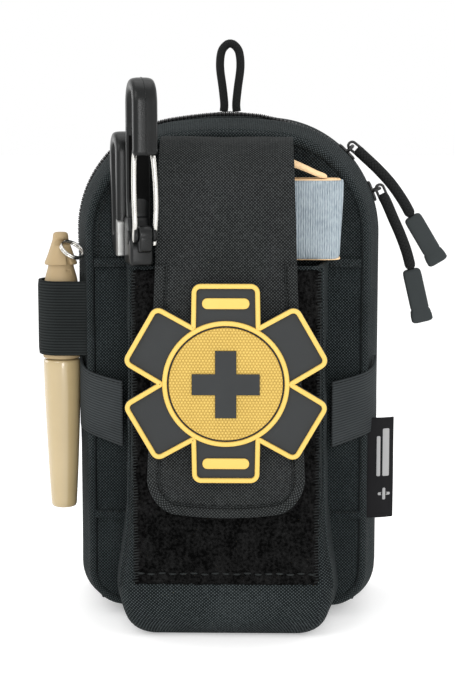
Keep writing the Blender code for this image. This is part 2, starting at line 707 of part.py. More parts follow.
def make_tourniquet(parent):
    """Folded strap, base plate, windlass rod, its clip and the buckle, stowed upright."""
    left, right = TOURNIQUET_LEFT, TOURNIQUET_LEFT + STRAP_WIDTH
    middle = (left + right) / 2
    back = HOLDER_BACK_Y - HOLDER_WALL - 2 * GAP
    low = HOLDER_WALL + 2 * GAP
    ends = [arc((back - STRAP_STACK / 2, low + STRAP_STACK / 2), STRAP_STACK / 2, 180, 360, 6),
            arc((back - STRAP_STACK / 2, STRAP_TOP - STRAP_STACK / 2), STRAP_STACK / 2, 0, 180, 6)]
    strap = prism([*ends[0], *ends[1]], left, right, "X")
    piece("tourniquet_strap", strap, WEBBING, parent)

    plate_y = back - STRAP_STACK - GAP - PLATE_THICKNESS
    plate_low = low + BUCKLE_HEIGHT + 22.0
    plate_half = STRAP_WIDTH / 2 - 1.5
    outline = [
        *arc((middle + plate_half - 5, plate_low + 5), 5, -90, 0, 3),
        *arc((middle + plate_half - 5, plate_low + PLATE_HEIGHT - 5), 5, 0, 90, 3),
        *arc((middle - plate_half + 5, plate_low + PLATE_HEIGHT - 5), 5, 90, 180, 3),
        *arc((middle - plate_half + 5, plate_low + 5), 5, 180, 270, 3),
    ]
    plate = prism(outline, plate_y, plate_y + PLATE_THICKNESS)
    piece("tourniquet_plate", plate, BLACK_PLASTIC, parent)

    rod_y = plate_y - GAP - CLIP_WALL - GAP - ROD_RADIUS
    rod_low = low + BUCKLE_HEIGHT + 6.0
    turned = rod((middle, rod_y), ROD_RADIUS, rod_low, rod_low + ROD_LENGTH, "Z", 14)
    windlass = piece("tourniquet_windlass", turned, BLACK_PLASTIC, parent, smooth=True)
    bevelled(windlass, 1.2, 2)

    clip_low = plate_low + PLATE_HEIGHT - 22.0
    outer = arc((middle, rod_y), ROD_RADIUS + GAP + CLIP_WALL, -50, 230, 14)
    inner = arc((middle, rod_y), ROD_RADIUS + GAP, -50, 230, 14)
    hook = prism(outer + inner[::-1], clip_low, clip_low + 14.0, "Z")
    piece("tourniquet_clip", hook, BLACK_PLASTIC, parent, smooth=True)

    half, bar = STRAP_WIDTH / 2 + 1.0, BUCKLE_BAR
    corners = [(-1, -1), (1, -1), (1, 1), (-1, 1)]
    centre_z = low + BUCKLE_HEIGHT / 2
    outer = [(middle + sx * half, centre_z + sz * BUCKLE_HEIGHT / 2) for sx, sz in corners]
    inner = [(middle + sx * (half - bar), centre_z + sz * (BUCKLE_HEIGHT / 2 - bar)) for sx, sz in corners]
    buckle = frame_prism(outer, inner, plate_y - 0.7, plate_y + PLATE_THICKNESS)
    bevelled(piece("tourniquet_buckle", buckle, BLACK_PLASTIC, parent), 0.5)


# ---------------------------------------------------------------- flap and patch


def flap_half_width(z):
    """Half the flap's width at a height: narrow over the crest, wider at the holster."""
    knee = HOLDER_MOUTH + 2.0
    if z >= knee:
        share = min(1.0, (z - knee) / (CREST_Z - knee))
        return FLAP_MID_HALF_WIDTH + (FLAP_TOP_HALF_WIDTH - FLAP_MID_HALF_WIDTH) * share
    share = (knee - z) / (knee - FLAP_BOTTOM - 12.0)
    return FLAP_MID_HALF_WIDTH + (FLAP_LOW_HALF_WIDTH - FLAP_MID_HALF_WIDTH) * min(1.0, share)


def make_flap_top(parent):
    """The sewn root of the flap, from the piping forward to the crest."""
    t = FLAP_THICKNESS
    path = [(FLAP_HINGE_Y - GAP, FLAP_HINGE_Z - t / 2), (FLAP_HINGE_Y - 5.5, FLAP_HINGE_Z + 1.0 - t / 2),
            (CREST_Y + GAP, CREST_Z - t / 2)]
    half = FLAP_TOP_HALF_WIDTH
    piece("flap_top", strip(path, t, -half, half, "X"), CANVAS, parent)


def flap_profile():
    """Middle line of the hanging part of the flap as (y, z), from the crest down to its lower end."""
    t = FLAP_THICKNESS
    middle_y = FLAP_Y + t / 2
    run = CREST_Y - middle_y
    shoulder = [(CREST_Y - GAP, CREST_Z - t / 2), (CREST_Y - 0.42 * run, CREST_Z - 3.4),
                (CREST_Y - 0.74 * run, CREST_Z - 9.2), (CREST_Y - 0.94 * run, CREST_Z - 18.5),
                (middle_y, CREST_Z - FLAP_SHOULDER_DROP)]
    return [*shoulder, (middle_y, HOLDER_MOUTH + 2.0), (middle_y, FLAP_BOTTOM + 12.0)]


def make_flap_front(parent):
    """The hanging front: a folded sheet with tapering sides and a round-cornered lower end."""
    profile = flap_profile()
    left = offset_path(profile, FLAP_THICKNESS / 2)
    right = offset_path(profile, -FLAP_THICKNESS / 2)
    rings = []
    for (y1, z1), (y2, z2), (_, z) in zip(left, right, profile):
        half = flap_half_width(z)
        rings.append([(-half, y1, z1), (half, y1, z1), (half, y2, z2), (-half, y2, z2)])
    half, r = FLAP_LOW_HALF_WIDTH, FLAP_CORNER_RADIUS
    low_y, high_y = rings[-1][0][1], rings[-1][2][1]
    for angle in (0, 30, 60, 90):
        t = math.radians(angle)
        x, z = half - r + r * math.cos(t), FLAP_BOTTOM + r - r * math.sin(t)
        rings.append([(-x, low_y, z), (x, low_y, z), (x, high_y, z), (-x, high_y, z)])
    piece("flap_panel", loft(rings), CANVAS, parent)

    edge = BINDING_WIDTH / 2
    knee = HOLDER_MOUTH + 2.0
    low_x, low_z = half - edge, FLAP_BOTTOM + edge
    right_side = [(FLAP_MID_HALF_WIDTH - edge, knee), (low_x, FLAP_BOTTOM + 12.0),
                  *arc((low_x - r + edge, low_z + r - edge), r - edge, 0, -90, 4)]
    left_side = [(-x, z) for x, z in right_side[::-1]]
    binding = strip(right_side + left_side, BINDING_WIDTH, BINDING_Y, BINDING_Y + PILE_THICKNESS)
    piece("flap_binding", binding, WEBBING, parent)

    hook_half = FLAP_LOW_HALF_WIDTH - 4.5
    hook = block((-hook_half, hook_half), (HOOK_Y, HOOK_Y + PILE_THICKNESS),
                 (FLAP_BOTTOM + 5.0, FLAP_BOTTOM + 5.0 + HOOK_PANEL_HEIGHT))
    piece("flap_hook_panel", hook, PILE, parent)


def star_outline(reach, half_width, corner):
    """Six equal arms with rounded outer corners, one arm straight up."""
    points = []
    notch = half_width / math.sin(math.radians(30))
    for k in range(6):
        turn = math.radians(90 - 60 * k)
        out, side = Vector((math.cos(turn), math.sin(turn))), Vector((math.sin(turn), -math.cos(turn)))
        low, high = reach - corner, reach
        for a, b in ((low, -half_width), (high - 0.3 * corner, -half_width + 0.3 * corner),
                     (high, -half_width + corner), (high, half_width - corner),
                     (high - 0.3 * corner, half_width - 0.3 * corner), (low, half_width)):
            points.append(tuple(out * a + side * b))
        between = math.radians(60 - 60 * k)
        points.append((notch * math.cos(between), notch * math.sin(between)))
    return [(x, PATCH_HEIGHT + z) for x, z in points[::-1]]


def disc_outline(radius, steps=36):
    return arc((0, PATCH_HEIGHT), radius, 0, 360 - 360 / steps, steps - 1)


def make_patch(parent):
    half, rim = PATCH_ARM_WIDTH / 2, PATCH_RIM_WIDTH
    hook = disc_outline(PATCH_DISC_RADIUS - 1.5, 24)
    piece("patch_backing", prism(hook, BINDING_Y, BINDING_Y + PILE_THICKNESS), PILE, parent)
    outer = star_outline(PATCH_ARM_REACH, half, 3.0)
    piece("patch_base", prism(outer, PATCH_Y, PATCH_BACK_Y), PATCH_GREY, parent)
    inner = star_outline(PATCH_ARM_REACH - rim, half - rim, 3.0 - 0.4 * rim)
    border = frame_prism(outer, inner, RAISED_Y, RAISED_BACK_Y)
    piece("patch_rim", border, PATCH_YELLOW, parent)
    disc = prism(disc_outline(PATCH_DISC_RADIUS), RAISED_Y, RAISED_BACK_Y)
    piece("patch_disc", disc, PATCH_YELLOW, parent, smooth=True)
    reach, arm = PATCH_CROSS_REACH, PATCH_CROSS_WIDTH / 2
    quarter = [(arm, -reach), (arm, -arm), (reach, -arm)]
    cross = []
    for turn in range(4):
        c, s = round(math.cos(turn * math.pi / 2)), round(math.sin(turn * math.pi / 2))
        cross += [(c * x - s * z, PATCH_HEIGHT + s * x + c * z) for x, z in quarter]
    top = RAISED_Y - GAP
    piece("patch_emblem", prism(cross, top - PATCH_RAISE / 2, top), PATCH_GREY, parent)


# ---------------------------------------------------------------- marker


def turned_rings(profile, sides=20):
    """Rings about the marker's own axis from (radius, height) pairs."""
    turn = [2 * math.pi * (k + 0.5) / sides for k in range(sides)]
    return [[(MARKER_X + r * math.cos(t), MARKER_Y + r * math.sin(t), z) for t in turn]
            for r, z in profile]


def make_marker(cap_axis, barrel_axis):
    """A hollow cap with a ring eye above, and a barrel whose neck and nib sit inside it."""
    r, split = MARKER_RADIUS, MARKER_SPLIT
    bore_top = split + 26.0
    cap = [(1.0, bore_top), (MARKER_BORE, bore_top - 8.0), (MARKER_BORE, split), (r, split),
           (r, split + 2.0), (r - 0.4, split + 3.0), (r - 0.9, split + 29.0), (r - 1.5, split + 31.5),
           (r - 1.0, split + 35.5), (r - 1.9, MARKER_TOP)]
    body = piece("marker_cap", loft(turned_rings(cap)), TAN_PLASTIC, cap_axis, smooth=True)
    turned = axis_empty("eye_frame", (MARKER_X, MARKER_Y, MARKER_TOP), cap_axis, turn_z=RING_YAW)
    web = RING_WEB / 2
    for name, y in (("front", (-2 * r, -web)), ("back", (web, 2 * r))):
        cut = block((-1.4, 2 * r), y, (-EYE_TAB_HEIGHT, 5.0))
        boolean(body, piece(f"eye_cut_{name}", cut, TAN_PLASTIC, turned), "DIFFERENCE")
    hole = rod(RING_EYE, RING_HOLE_RADIUS, -3 * web, 3 * web, "Y", 12)
    boolean(body, piece("eye_hole", hole, TAN_PLASTIC, turned), "DIFFERENCE")

    low = split - GAP
    barrel = [(3.2, MARKER_BOTTOM), (4.4, MARKER_BOTTOM + 0.8), (4.8, MARKER_BOTTOM + 4.0),
              (r - 0.5, low - 22.0), (r, low - 8.0), (r, low - 0.8), (r - 0.6, low),
              (MARKER_BORE - GAP, low), (MARKER_BORE - GAP - 0.3, low + 13.0), (1.6, low + 15.0),
              (0.9, low + 20.0)]
    piece("marker_barrel", loft(turned_rings(barrel)), TAN_PLASTIC, barrel_axis, smooth=True)


def make_key_ring(parent):
    """A split ring whose plane holds the eye's axis, modelled as one turned wire."""
    out = Vector((RING_DIRECTION[0], 0.0, RING_DIRECTION[1])).normalized()
    centre = out * RING_RADIUS
    side = Vector((0.0, 1.0, 0.0))
    normal = out.cross(side)
    rings = []
    for k in range(24):
        a = 2 * math.pi * k / 24
        spoke = out * math.cos(a) + side * math.sin(a)
        middle = centre + spoke * RING_RADIUS
        rings.append([middle + spoke * RING_WIRE * math.cos(b) + normal * RING_WIRE * math.sin(b)
                      for b in (2 * math.pi * j / 6 for j in range(6))])
    piece("key_ring", loft(rings, closed=True), STEEL, parent, smooth=True)


# ---------------------------------------------------------------- shears


def handle_plate(name, outline, parent, thickness=HANDLE_THICKNESS, material=BLACK_PLASTIC):
    """A flat moulding in the shears' own plane: outline points are (forward, height)."""
    flat = [(-u, z) for u, z in outline]
    shape = prism(flat, -thickness / 2, thickness / 2, "X")
    return bevelled(piece(name, shape, material, parent), 1.0)


def make_shears(parent, gate_axis):
    """Handles, blades, screw and gate pin; the parent's frame is turned so that -Y is forward."""
    low, depth, band = HANDLE_BOTTOM, CLIP_HANDLE_DEPTH, CLIP_BAND
    start, top, nose = HANDLE_START, CLIP_HANDLE_TOP, CLIP_NOSE_HEIGHT
    end, r = start + depth, depth / 2
    centre = (start + r, top - r)
    hook = [
        *arc(centre, r, 180, 0, 10), (end, nose), (end - band, nose),
        *arc(centre, r - band, 0, 180, 8), (start + band - 1.2, GATE_PIVOT_HEIGHT + 5.5),
        (end - 6.2, GATE_PIVOT_HEIGHT - 3.6), (end - 5.0, low), (start + 1.2, low), (start, low + 6.0),
    ]
    handle = handle_plate("shears_clip_handle", hook, parent)
    pin_u, pin_z = end - GATE_PIN_INSET, GATE_PIVOT_HEIGHT
    lug_half = GATE_HALF_SPACING - GATE_WIRE_RADIUS - GAP
    lug = [(end - 7.2, pin_z - 5.2), (pin_u - 2.6, pin_z + 2.0), (pin_u + 1.2, pin_z + 2.4),
           (pin_u + 2.4, pin_z + 0.6), (pin_u + 2.0, pin_z - 5.2)]
    knuckle = prism([(-u, z) for u, z in lug], -lug_half, lug_half, "X")
    boolean(handle, piece("gate_knuckle", knuckle, BLACK_PLASTIC, parent), "UNION")
    bore = rod((-pin_u, pin_z), GATE_PIN_RADIUS + GAP, -2 * lug_half, 2 * lug_half, "X", 12)
    boolean(handle, piece("gate_bore", bore, BLACK_PLASTIC, parent), "DIFFERENCE")
    pin = rod((-pin_u, pin_z), GATE_PIN_RADIUS, -lug_half, lug_half, "X", 12)
    piece("gate_pin", pin, STEEL, parent, smooth=True)

    front_u, band, r = -2 * GAP, THUMB_LOOP_BAND, THUMB_LOOP_DEPTH / 2
    upper, lower = THUMB_LOOP_TOP - r, low + 8.0
    outer = [*arc((front_u - r, upper), r, 0, 180, 10),
             *arc((front_u - r + 3.0, lower), r - 3.0, 180, 300, 6)]
    outer += [(front_u, low), (front_u, lower + 4.0)]
    inner_r = r - band + 0.6
    inner = [*arc((front_u - r, upper), inner_r, 0, 180, 10),
             *arc((front_u - r + 1.0, lower + 6.5), inner_r - 1.0, 180, 300, 6)]
    inner += [(front_u - r + inner_r * 0.8, lower + 7.0), (front_u - r + inner_r, lower + 12.0)]
    loop = frame_prism([(-u, z) for u, z in outer], [(-u, z) for u, z in inner],
                       -HANDLE_THICKNESS / 2, HANDLE_THICKNESS / 2, "X")
    bevelled(piece("shears_thumb_handle", loop, BLACK_PLASTIC, parent), 1.0)

    sin, cos = math.sin(math.radians(SHEARS_YAW)), math.cos(math.radians(SHEARS_YAW))
    dx, dy = BLADE_X - SHEARS_X, BLADE_Y - SHEARS_Y
    shift_x, shift_u = dx * cos + dy * sin, -(-dx * sin + dy * cos)
    half, tip, pivot = BLADE_WIDTH / 2, BLADE_TIP, BLADE_PIVOT_HEIGHT
    high = low - GAP
    long_blade = [(half, high), (half, pivot), (half - 1.0, tip + 9.0), (-2.0, tip),
                  (1.0 - half, tip + 4.0), (-half, pivot), (-half, high)]
    short_blade = [(half - 0.4, high), (half - 0.4, pivot), (half - 3.0, tip + 26.0),
                   (3.0 - half, tip + 14.0), (0.4 - half, pivot), (0.4 - half, high)]
    t = BLADE_THICKNESS
    blades = {"long": (long_blade, shift_x - t - GAP / 2), "short": (short_blade, shift_x + GAP / 2)}
    for name, (outline, x) in blades.items():
        flat = [(-shift_u - u, z) for u, z in outline]
        blade = piece(f"shears_blade_{name}", prism(flat, x, x + t, "X"), STEEL, parent)
        cut = rod((-shift_u, pivot), SCREW_RADIUS * 0.6 + GAP, x - 1, x + t + 1, "X", 12)
        boolean(blade, piece(f"pivot_hole_{name}", cut, STEEL, parent), "DIFFERENCE")
    reach = t + GAP / 2 + 0.1
    screw = rod((-shift_u, pivot), SCREW_RADIUS * 0.6, shift_x - reach, shift_x + reach, "X", 12)
    piece("shears_screw", screw, BLACK_METAL, parent, smooth=True)

    make_gate(gate_axis)


def make_gate(axis):
    """One bent wire: up both sides from the pin to a cross bar under the hook's nose."""
    s, wire = GATE_HALF_SPACING, GATE_WIRE_RADIUS
    top = CLIP_NOSE_HEIGHT - GATE_PIVOT_HEIGHT - GAP - 1.4 * wire
    path = [Vector(p) for p in (
        (-s, 0.0, -1.0), (-s, 0.0, 2.0), (-s + 0.3, 0.6, 0.5 * top), (-s + 1.4, 0.0, top - 1.6),
        (-s + 2.6, 0.0, top), (s - 2.6, 0.0, top), (s - 1.4, 0.0, top - 1.6),
        (s - 0.3, 0.6, 0.5 * top), (s, 0.0, 2.0), (s, 0.0, -1.0))]
    rings = []
    for k, p in enumerate(path):
        before = path[max(k - 1, 0)]
        after = path[min(k + 1, len(path) - 1)]
        along = (after - before).normalized()
        side = along.cross(Vector((0, 1, 0))).normalized()
        up = side.cross(along)
        rings.append([p + side * wire * math.cos(b) + up * wire * math.sin(b)
                      for b in (2 * math.pi * (j + 0.5) / 8 for j in range(8))])
    piece("gate_wire", loft(rings), STEEL, axis, smooth=True)


# ---------------------------------------------------------------- splint


def make_splint(parent):
    """A flattened roll with the foam core's tail lying over it."""
    x1, low = SPLINT_RIGHT, SPLINT_BOTTOM
    x0, top = x1 - SPLINT_WIDTH, SPLINT_BOTTOM + SPLINT_HEIGHT
    back = HOLDER_BACK_Y - 5.5
    front, r = back - SPLINT_DEPTH, SPLINT_DEPTH / 2 - 0.5
    flat = [*arc((x1 - r, front + r), r, -90, 0, 4), *arc((x1 - r, back - r), r, 0, 90, 4),
            *arc((x0 + r, back - r), r, 90, 180, 4), *arc((x0 + r, front + r), r, 180, 270, 4)]
    piece("splint_roll", prism(flat, low, top, "Z"), SPLINT_GREY, parent, smooth=True)
    t = SPLINT_CORE_THICKNESS
    path = [(x1 - 6.0, top + GAP + t / 2 + 0.2), (x1 - 12.0, top + 3.2), (x1 - 22.0, top + 7.2)]
    core = strip(path, t, front + 1.5, back - 3.5)
    piece("splint_core", core, SPLINT_TAN, parent)


# ---------------------------------------------------------------- assembly

make_rear_shell()
make_zip(1)
make_base_gusset()
make_back_fastening()
make_rear_pocket()
make_hang_loop()

front = axis_empty("front_open_axis", (0, ZIP_Y, 0))
front_frame = axis_empty("front_frame", (0, -ZIP_Y, 0), front)
make_front_shell(front_frame)
make_zip(-1, front_frame)
make_front_layers(front_frame)
make_marker_loop(front_frame)
make_holder(front_frame)
make_tourniquet(front_frame)

flap_root = axis_empty("flap_lift_axis", (0, FLAP_HINGE_Y, FLAP_HINGE_Z), front_frame)
flap_root_frame = axis_empty("flap_root_frame", (0, -FLAP_HINGE_Y, -FLAP_HINGE_Z), flap_root)
make_flap_top(flap_root_frame)
flap_fold = axis_empty("flap_fold_axis", (0, CREST_Y, CREST_Z), flap_root_frame)
flap_frame = axis_empty("flap_frame", (0, -CREST_Y, -CREST_Z), flap_fold)
make_flap_front(flap_frame)
make_patch(axis_empty("patch_peel_axis", (0, 0, 0), flap_frame))

cap_axis = axis_empty("marker_draw_axis", (0, 0, 0), front_frame)
barrel_axis = axis_empty("marker_uncap_axis", (0, 0, 0), cap_axis)
make_marker(cap_axis, barrel_axis)
yaw = math.radians(RING_YAW)
eye = (MARKER_X + RING_EYE[0] * math.cos(yaw), MARKER_Y + RING_EYE[0] * math.sin(yaw),
       MARKER_TOP + RING_EYE[1])
make_key_ring(axis_empty("key_ring_axis", eye, cap_axis, turn_z=RING_YAW))

shears_frame = axis_empty("shears_frame", (SHEARS_X, SHEARS_Y, 0), front_frame, turn_z=SHEARS_YAW)
gate_place = (0, -(HANDLE_START + CLIP_HANDLE_DEPTH - GATE_PIN_INSET), GATE_PIVOT_HEIGHT)
make_shears(shears_frame, axis_empty("gate_axis", gate_place, shears_frame))

make_splint(axis_empty("splint_draw_axis", (0, 0, 0), front_frame))

for slider in SLIDER_ANGLES:
    make_slider(slider)
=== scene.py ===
import math

import bmesh
import bpy
import numpy as np
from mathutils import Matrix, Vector


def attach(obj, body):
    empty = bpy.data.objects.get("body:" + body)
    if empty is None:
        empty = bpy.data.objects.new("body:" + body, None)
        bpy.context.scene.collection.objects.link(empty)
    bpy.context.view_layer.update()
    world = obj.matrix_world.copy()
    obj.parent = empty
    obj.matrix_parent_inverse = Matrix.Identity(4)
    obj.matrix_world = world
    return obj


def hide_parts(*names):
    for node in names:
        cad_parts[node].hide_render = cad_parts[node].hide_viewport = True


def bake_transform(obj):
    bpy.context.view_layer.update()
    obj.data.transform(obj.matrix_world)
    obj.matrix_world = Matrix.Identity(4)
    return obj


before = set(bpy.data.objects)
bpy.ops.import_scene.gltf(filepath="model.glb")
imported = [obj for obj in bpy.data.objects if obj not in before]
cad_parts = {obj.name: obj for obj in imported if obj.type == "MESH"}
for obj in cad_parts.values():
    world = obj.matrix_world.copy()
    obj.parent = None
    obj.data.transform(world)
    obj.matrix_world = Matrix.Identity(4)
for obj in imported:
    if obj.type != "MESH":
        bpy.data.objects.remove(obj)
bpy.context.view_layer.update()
print("frame loaded:", len(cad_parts), "parts")

# Lengths are in millimetres and turn into metres when a mesh is made. The pouch stands on z = 0 and
# faces -Y.
mm = 0.001


# stage

studio = {
    "cameraPlace": (12.16, -672.7, 200.9),
    "cameraAim": (-0.18, -30.0, 104.85),
    "lens": 91.9,
    "worldStrength": 1.0,
    "floorGlow": 0.32,
    "floorColour": (0.80, 0.80, 0.80),
    "lights": {  # place, aim, width, height, watts
        "keyLight": ((-380, -560, 640), (0, -30, 110), 380, 380, 1.1),
        "stripLight": ((70, -720, 130), (-30, -30, 100), 150, 620, 2.2),
        "fillLight": ((620, -500, 330), (0, -30, 100), 420, 420, 0.35),
        "topLight": ((0, 60, 800), (0, -10, 100), 500, 500, 0.9),
        "leftEdgeLight": ((-560, 180, 260), (0, -20, 110), 300, 300, 0.7),
        "rightEdgeLight": ((560, 220, 300), (0, -20, 110), 300, 300, 0.7),
    },
}


def aimed(obj, place, aim):
    # puts a lamp or a camera at a place, turned towards its aim
    obj.location = Vector(place) * mm
    obj.rotation_euler = (Vector(aim) - Vector(place)).to_track_quat("-Z", "Y").to_euler()
    bpy.context.scene.collection.objects.link(obj)
    return obj


def makeStage(s):
    # lens, area lamps, white world and a pale floor
    lens = bpy.data.cameras.new("viewCamera")
    lens.lens = s["lens"]
    bpy.context.scene.camera = aimed(bpy.data.objects.new("viewCamera", lens), s["cameraPlace"],
                                     s["cameraAim"])
    for name, (place, aim, wide, high, watts) in s["lights"].items():
        lamp = bpy.data.lights.new(name, "AREA")
        lamp.shape, lamp.size, lamp.size_y, lamp.energy = "RECTANGLE", wide * mm, high * mm, watts
        aimed(bpy.data.objects.new(name, lamp), place, aim)
    world = bpy.data.worlds.new("studioWorld")
    bpy.context.scene.world = world
    world.use_nodes = True
    world.node_tree.nodes["Background"].inputs[0].default_value = (1, 1, 1, 1)
    world.node_tree.nodes["Background"].inputs[1].default_value = s["worldStrength"]
    bpy.context.scene.view_settings.view_transform = "Standard"
    bpy.ops.mesh.primitive_plane_add(size=8.0, location=(0, 0, 0))
    floor = bpy.context.object
    floor.name = "studioFloor"
    paint = bpy.data.materials.new("floorPaint")
    paint.use_nodes = True
    shader = paint.node_tree.nodes["Principled BSDF"]
    shader.inputs["Base Color"].default_value = (*s["floorColour"], 1)
    shader.inputs["Roughness"].default_value = 0.7
    shader.inputs["Emission Color"].default_value = (1, 1, 1, 1)
    shader.inputs["Emission Strength"].default_value = s["floorGlow"]
    shader.inputs["Specular IOR Level"].default_value = 0.1
    floor.data.materials.append(paint)


makeStage(studio)
print("stage made")


# shader maths

class Wire:
    # A socket that can be used in an expression: each operator adds one Math node.
    def __init__(self, shop, socket):
        self.shop, self.socket = shop, socket

    def __add__(self, other):
        return self.shop.math("ADD", self, other)

    def __radd__(self, other):
        return self.shop.math("ADD", other, self)

    def __sub__(self, other):
        return self.shop.math("SUBTRACT", self, other)

    def __rsub__(self, other):
        return self.shop.math("SUBTRACT", other, self)

    def __mul__(self, other):
        return self.shop.math("MULTIPLY", self, other)

    def __rmul__(self, other):
        return self.shop.math("MULTIPLY", other, self)

    def __truediv__(self, other):
        return self.shop.math("DIVIDE", self, other)

    def __rtruediv__(self, other):
        return self.shop.math("DIVIDE", other, self)

    def __mod__(self, other):
        return self.shop.math("FLOORED_MODULO", self, other)

    def __pow__(self, other):
        return self.shop.math("POWER", self, other)

    def __abs__(self):
        return self.shop.math("ABSOLUTE", self)

    def __gt__(self, other):
        return self.shop.math("GREATER_THAN", self, other)

    def __lt__(self, other):
        return self.shop.math("LESS_THAN", self, other)

    def floor(self):
        return self.shop.math("FLOOR", self)

    def fract(self):
        return self.shop.math("FRACT", self)

    def sin(self):
        return self.shop.math("SINE", self)

    def low(self, other):
        return self.shop.math("MINIMUM", self, other)

    def high(self, other):
        return self.shop.math("MAXIMUM", self, other)


class Finish:
    # One material's nodes. node() makes any node from its type, its settings and its sockets' values
    # or links.
    def __init__(self, name, **constants):
        self.material = bpy.data.materials.new(name)
        self.material.use_nodes = True
        self.tree = self.material.node_tree
        self.shader = self.tree.nodes["Principled BSDF"]
        for socket, value in constants.items():
            self.shader.inputs[socket.replace("_", " ")].default_value = value

    def put(self, socket, value):
        if isinstance(value, Wire):
            self.tree.links.new(value.socket, socket)
        elif hasattr(value, "__len__") and len(value) == 3 and socket.type == "RGBA":
            socket.default_value = (*value, 1)
        else:
            socket.default_value = value

    def node(self, kind, settings=None, inputs=None, output=0):
        made = self.tree.nodes.new("ShaderNode" + kind)
        for key, value in (settings or {}).items():
            setattr(made, key, value)
        for key, value in (inputs or {}).items():
            self.put(made.inputs[key], value)
        return Wire(self, made.outputs[output])

    def math(self, operation, *values):
        return self.node("Math", {"operation": operation}, dict(enumerate(values)))

    def lengths(self):
        # the piece's UV map holds millimetres walked along and across the cloth
        uv = self.node("UVMap", {"uv_map": "lengths"})
        return [self.node("SeparateXYZ", None, {0: uv}, k) for k in (0, 1)]

    def places(self, scale=1000.0):
        # object coordinates in millimetres
        at = self.node("TexCoord", None, None, 3)
        return self.node("VectorMath", {"operation": "SCALE"}, {0: at, "Scale": scale})

    def axis(self, vector, k):
        return self.node("SeparateXYZ", None, {0: vector}, k)

    def noise(self, scale, detail=2.0, vector=None, output=0):
        return self.node("TexNoise", None,
                         {"Vector": vector or self.places(), "Scale": scale, "Detail": detail}, output)

    def mix(self, factor, a, b, blend="MIX"):
        return self.node("MixRGB", {"blend_type": blend}, {0: factor, 1: a, 2: b})

    def bumped(self, height, distance, strength=1.0):
        normal = self.node("Bump", None, {"Height": height, "Distance": distance * mm, "Strength": strength})
        self.put(self.shader.inputs["Normal"], normal)
        return self

    def painted(self, colour, roughness=None, **others):
        self.put(self.shader.inputs["Base Color"], colour)
        if roughness is not None:
            self.put(self.shader.inputs["Roughness"], roughness)
        for socket, value in others.items():
            self.put(self.shader.inputs[socket.replace("_", " ")], value)
        return self


def wovenHeight(pitch, u, v):
    # plain weave: thread on top in alternate cells, round across itself and domed along itself
    across, along = u / pitch, v / pitch
    over = (across.floor() + along.floor()) % 2.0
    a, b = (across.fract() * math.pi).sin(), (along.fract() * math.pi).sin()
    # the second value marks the crowns of the threads on top; the cloth uses it as a painted highlight in its
    # colour
    return over * a * (0.45 + 0.55 * b) + (1 - over) * b * (0.45 + 0.55 * a), over * a * b


def clothFinish(name, dark, light, pitch, relief, roughness=0.85, byPlace=None):
    # woven pack cloth: painted shade between the threads and a painted highlight on the crowns of the threads
    # on top, with slow fading, odd light fibres and dust
    f = Finish(name, Roughness=roughness, Specular_IOR_Level=0.08)
    if byPlace:
        at = f.places()
        u, v = f.axis(at, byPlace[0]), f.axis(at, byPlace[1])
    else:
        u, v = f.lengths()
    height, crownHighlight = wovenHeight(pitch, u, v)
    fade = f.noise(0.05, 3.0)
    fleck = f.noise(1.1, 2.0)
    # painted highlight on the thread crowns and painted shade between the threads, with random fleck and fade
    # tone
    tone = (crownHighlight * 0.95 + (fleck - 0.45) * 0.6 + (fade - 0.5) * 0.35).high(0.0).low(1.0)
    f.painted(f.mix(tone, dark, light), (0.72 + 0.2 * fade))
    return f.bumped(height * 0.8 + fleck * 0.35, relief)


def ribbedFinish(name, dark, light, pitch, relief, axis=1, byPlace=None, cross=0.5, roughness=0.85):
    # webbing or knitted elastic: round ribs along one length, small stitches across them; rib and stitch
    # crowns are painted lighter and the grooves darker as painted highlight and shade
    f = Finish(name, Roughness=roughness, Specular_IOR_Level=0.08)
    if byPlace:
        at = f.places()
        lengths = [f.axis(at, k) for k in byPlace]
    else:
        lengths = f.lengths()
    rib = abs((lengths[axis] * (math.pi / pitch)).sin())
    stitch = abs((lengths[1 - axis] * (math.pi / (pitch * cross)) + (lengths[axis] / pitch).floor()
                  * 1.57).sin())
    fade = f.noise(0.06, 3.0)
    # painted highlight and shade: the colour follows the rib and stitch relief, with random fading
    tone = (rib * 0.6 + stitch * 0.3 + (fade - 0.5) * 0.5).high(0.0).low(1.0)
    f.painted(f.mix(tone, dark, light))
    return f.bumped(rib * 0.8 + stitch * 0.25, relief)


def pileFinish(name, dark, light):
    # loop fastening: matted loops with deep gaps, flattened in patches; the loop tops are painted lighter and
    # the gaps darker as painted highlight and shade
    f = Finish(name, Roughness=0.95, Specular_IOR_Level=0.04)
    loops = f.node("TexVoronoi", {"feature": "F1"}, {"Vector": f.places(), "Scale": 1.9, "Randomness": 1.0})
    tuft = f.noise(0.9, 4.0)
    worn = f.noise(0.12, 3.0)
    # (1 - loops) is painted highlight on the loop tops and painted shade in the gaps; tuft and worn add
    # uneven tone
    tone = ((tuft - 0.42) * 1.6 + (worn - 0.5) * 0.9 + (1 - loops) * 0.25).high(0.0).low(1.0)
    f.painted(f.mix(tone, dark, light))
    return f.bumped((1 - loops) * 0.5 + tuft, 0.7)


def plasticFinish(name, colour, worn, roughness, relief=0.02, grain=3.0, coat=0.0, specular=0.5):
    # moulded plastic: fine spark grain, slow unevenness and paler rubbed patches
    f = Finish(name, Specular_IOR_Level=specular, Coat_Weight=coat, Coat_Roughness=0.12)
    spark, cloud = f.noise(grain, 2.0), f.noise(0.08, 3.0)
    rubbed = ((cloud - 0.45) * 1.2).high(0.0).low(1.0)
    f.painted(f.mix(rubbed, colour, worn), roughness - 0.06 + 0.12 * cloud + 0.06 * spark)
    return f.bumped(spark, relief)


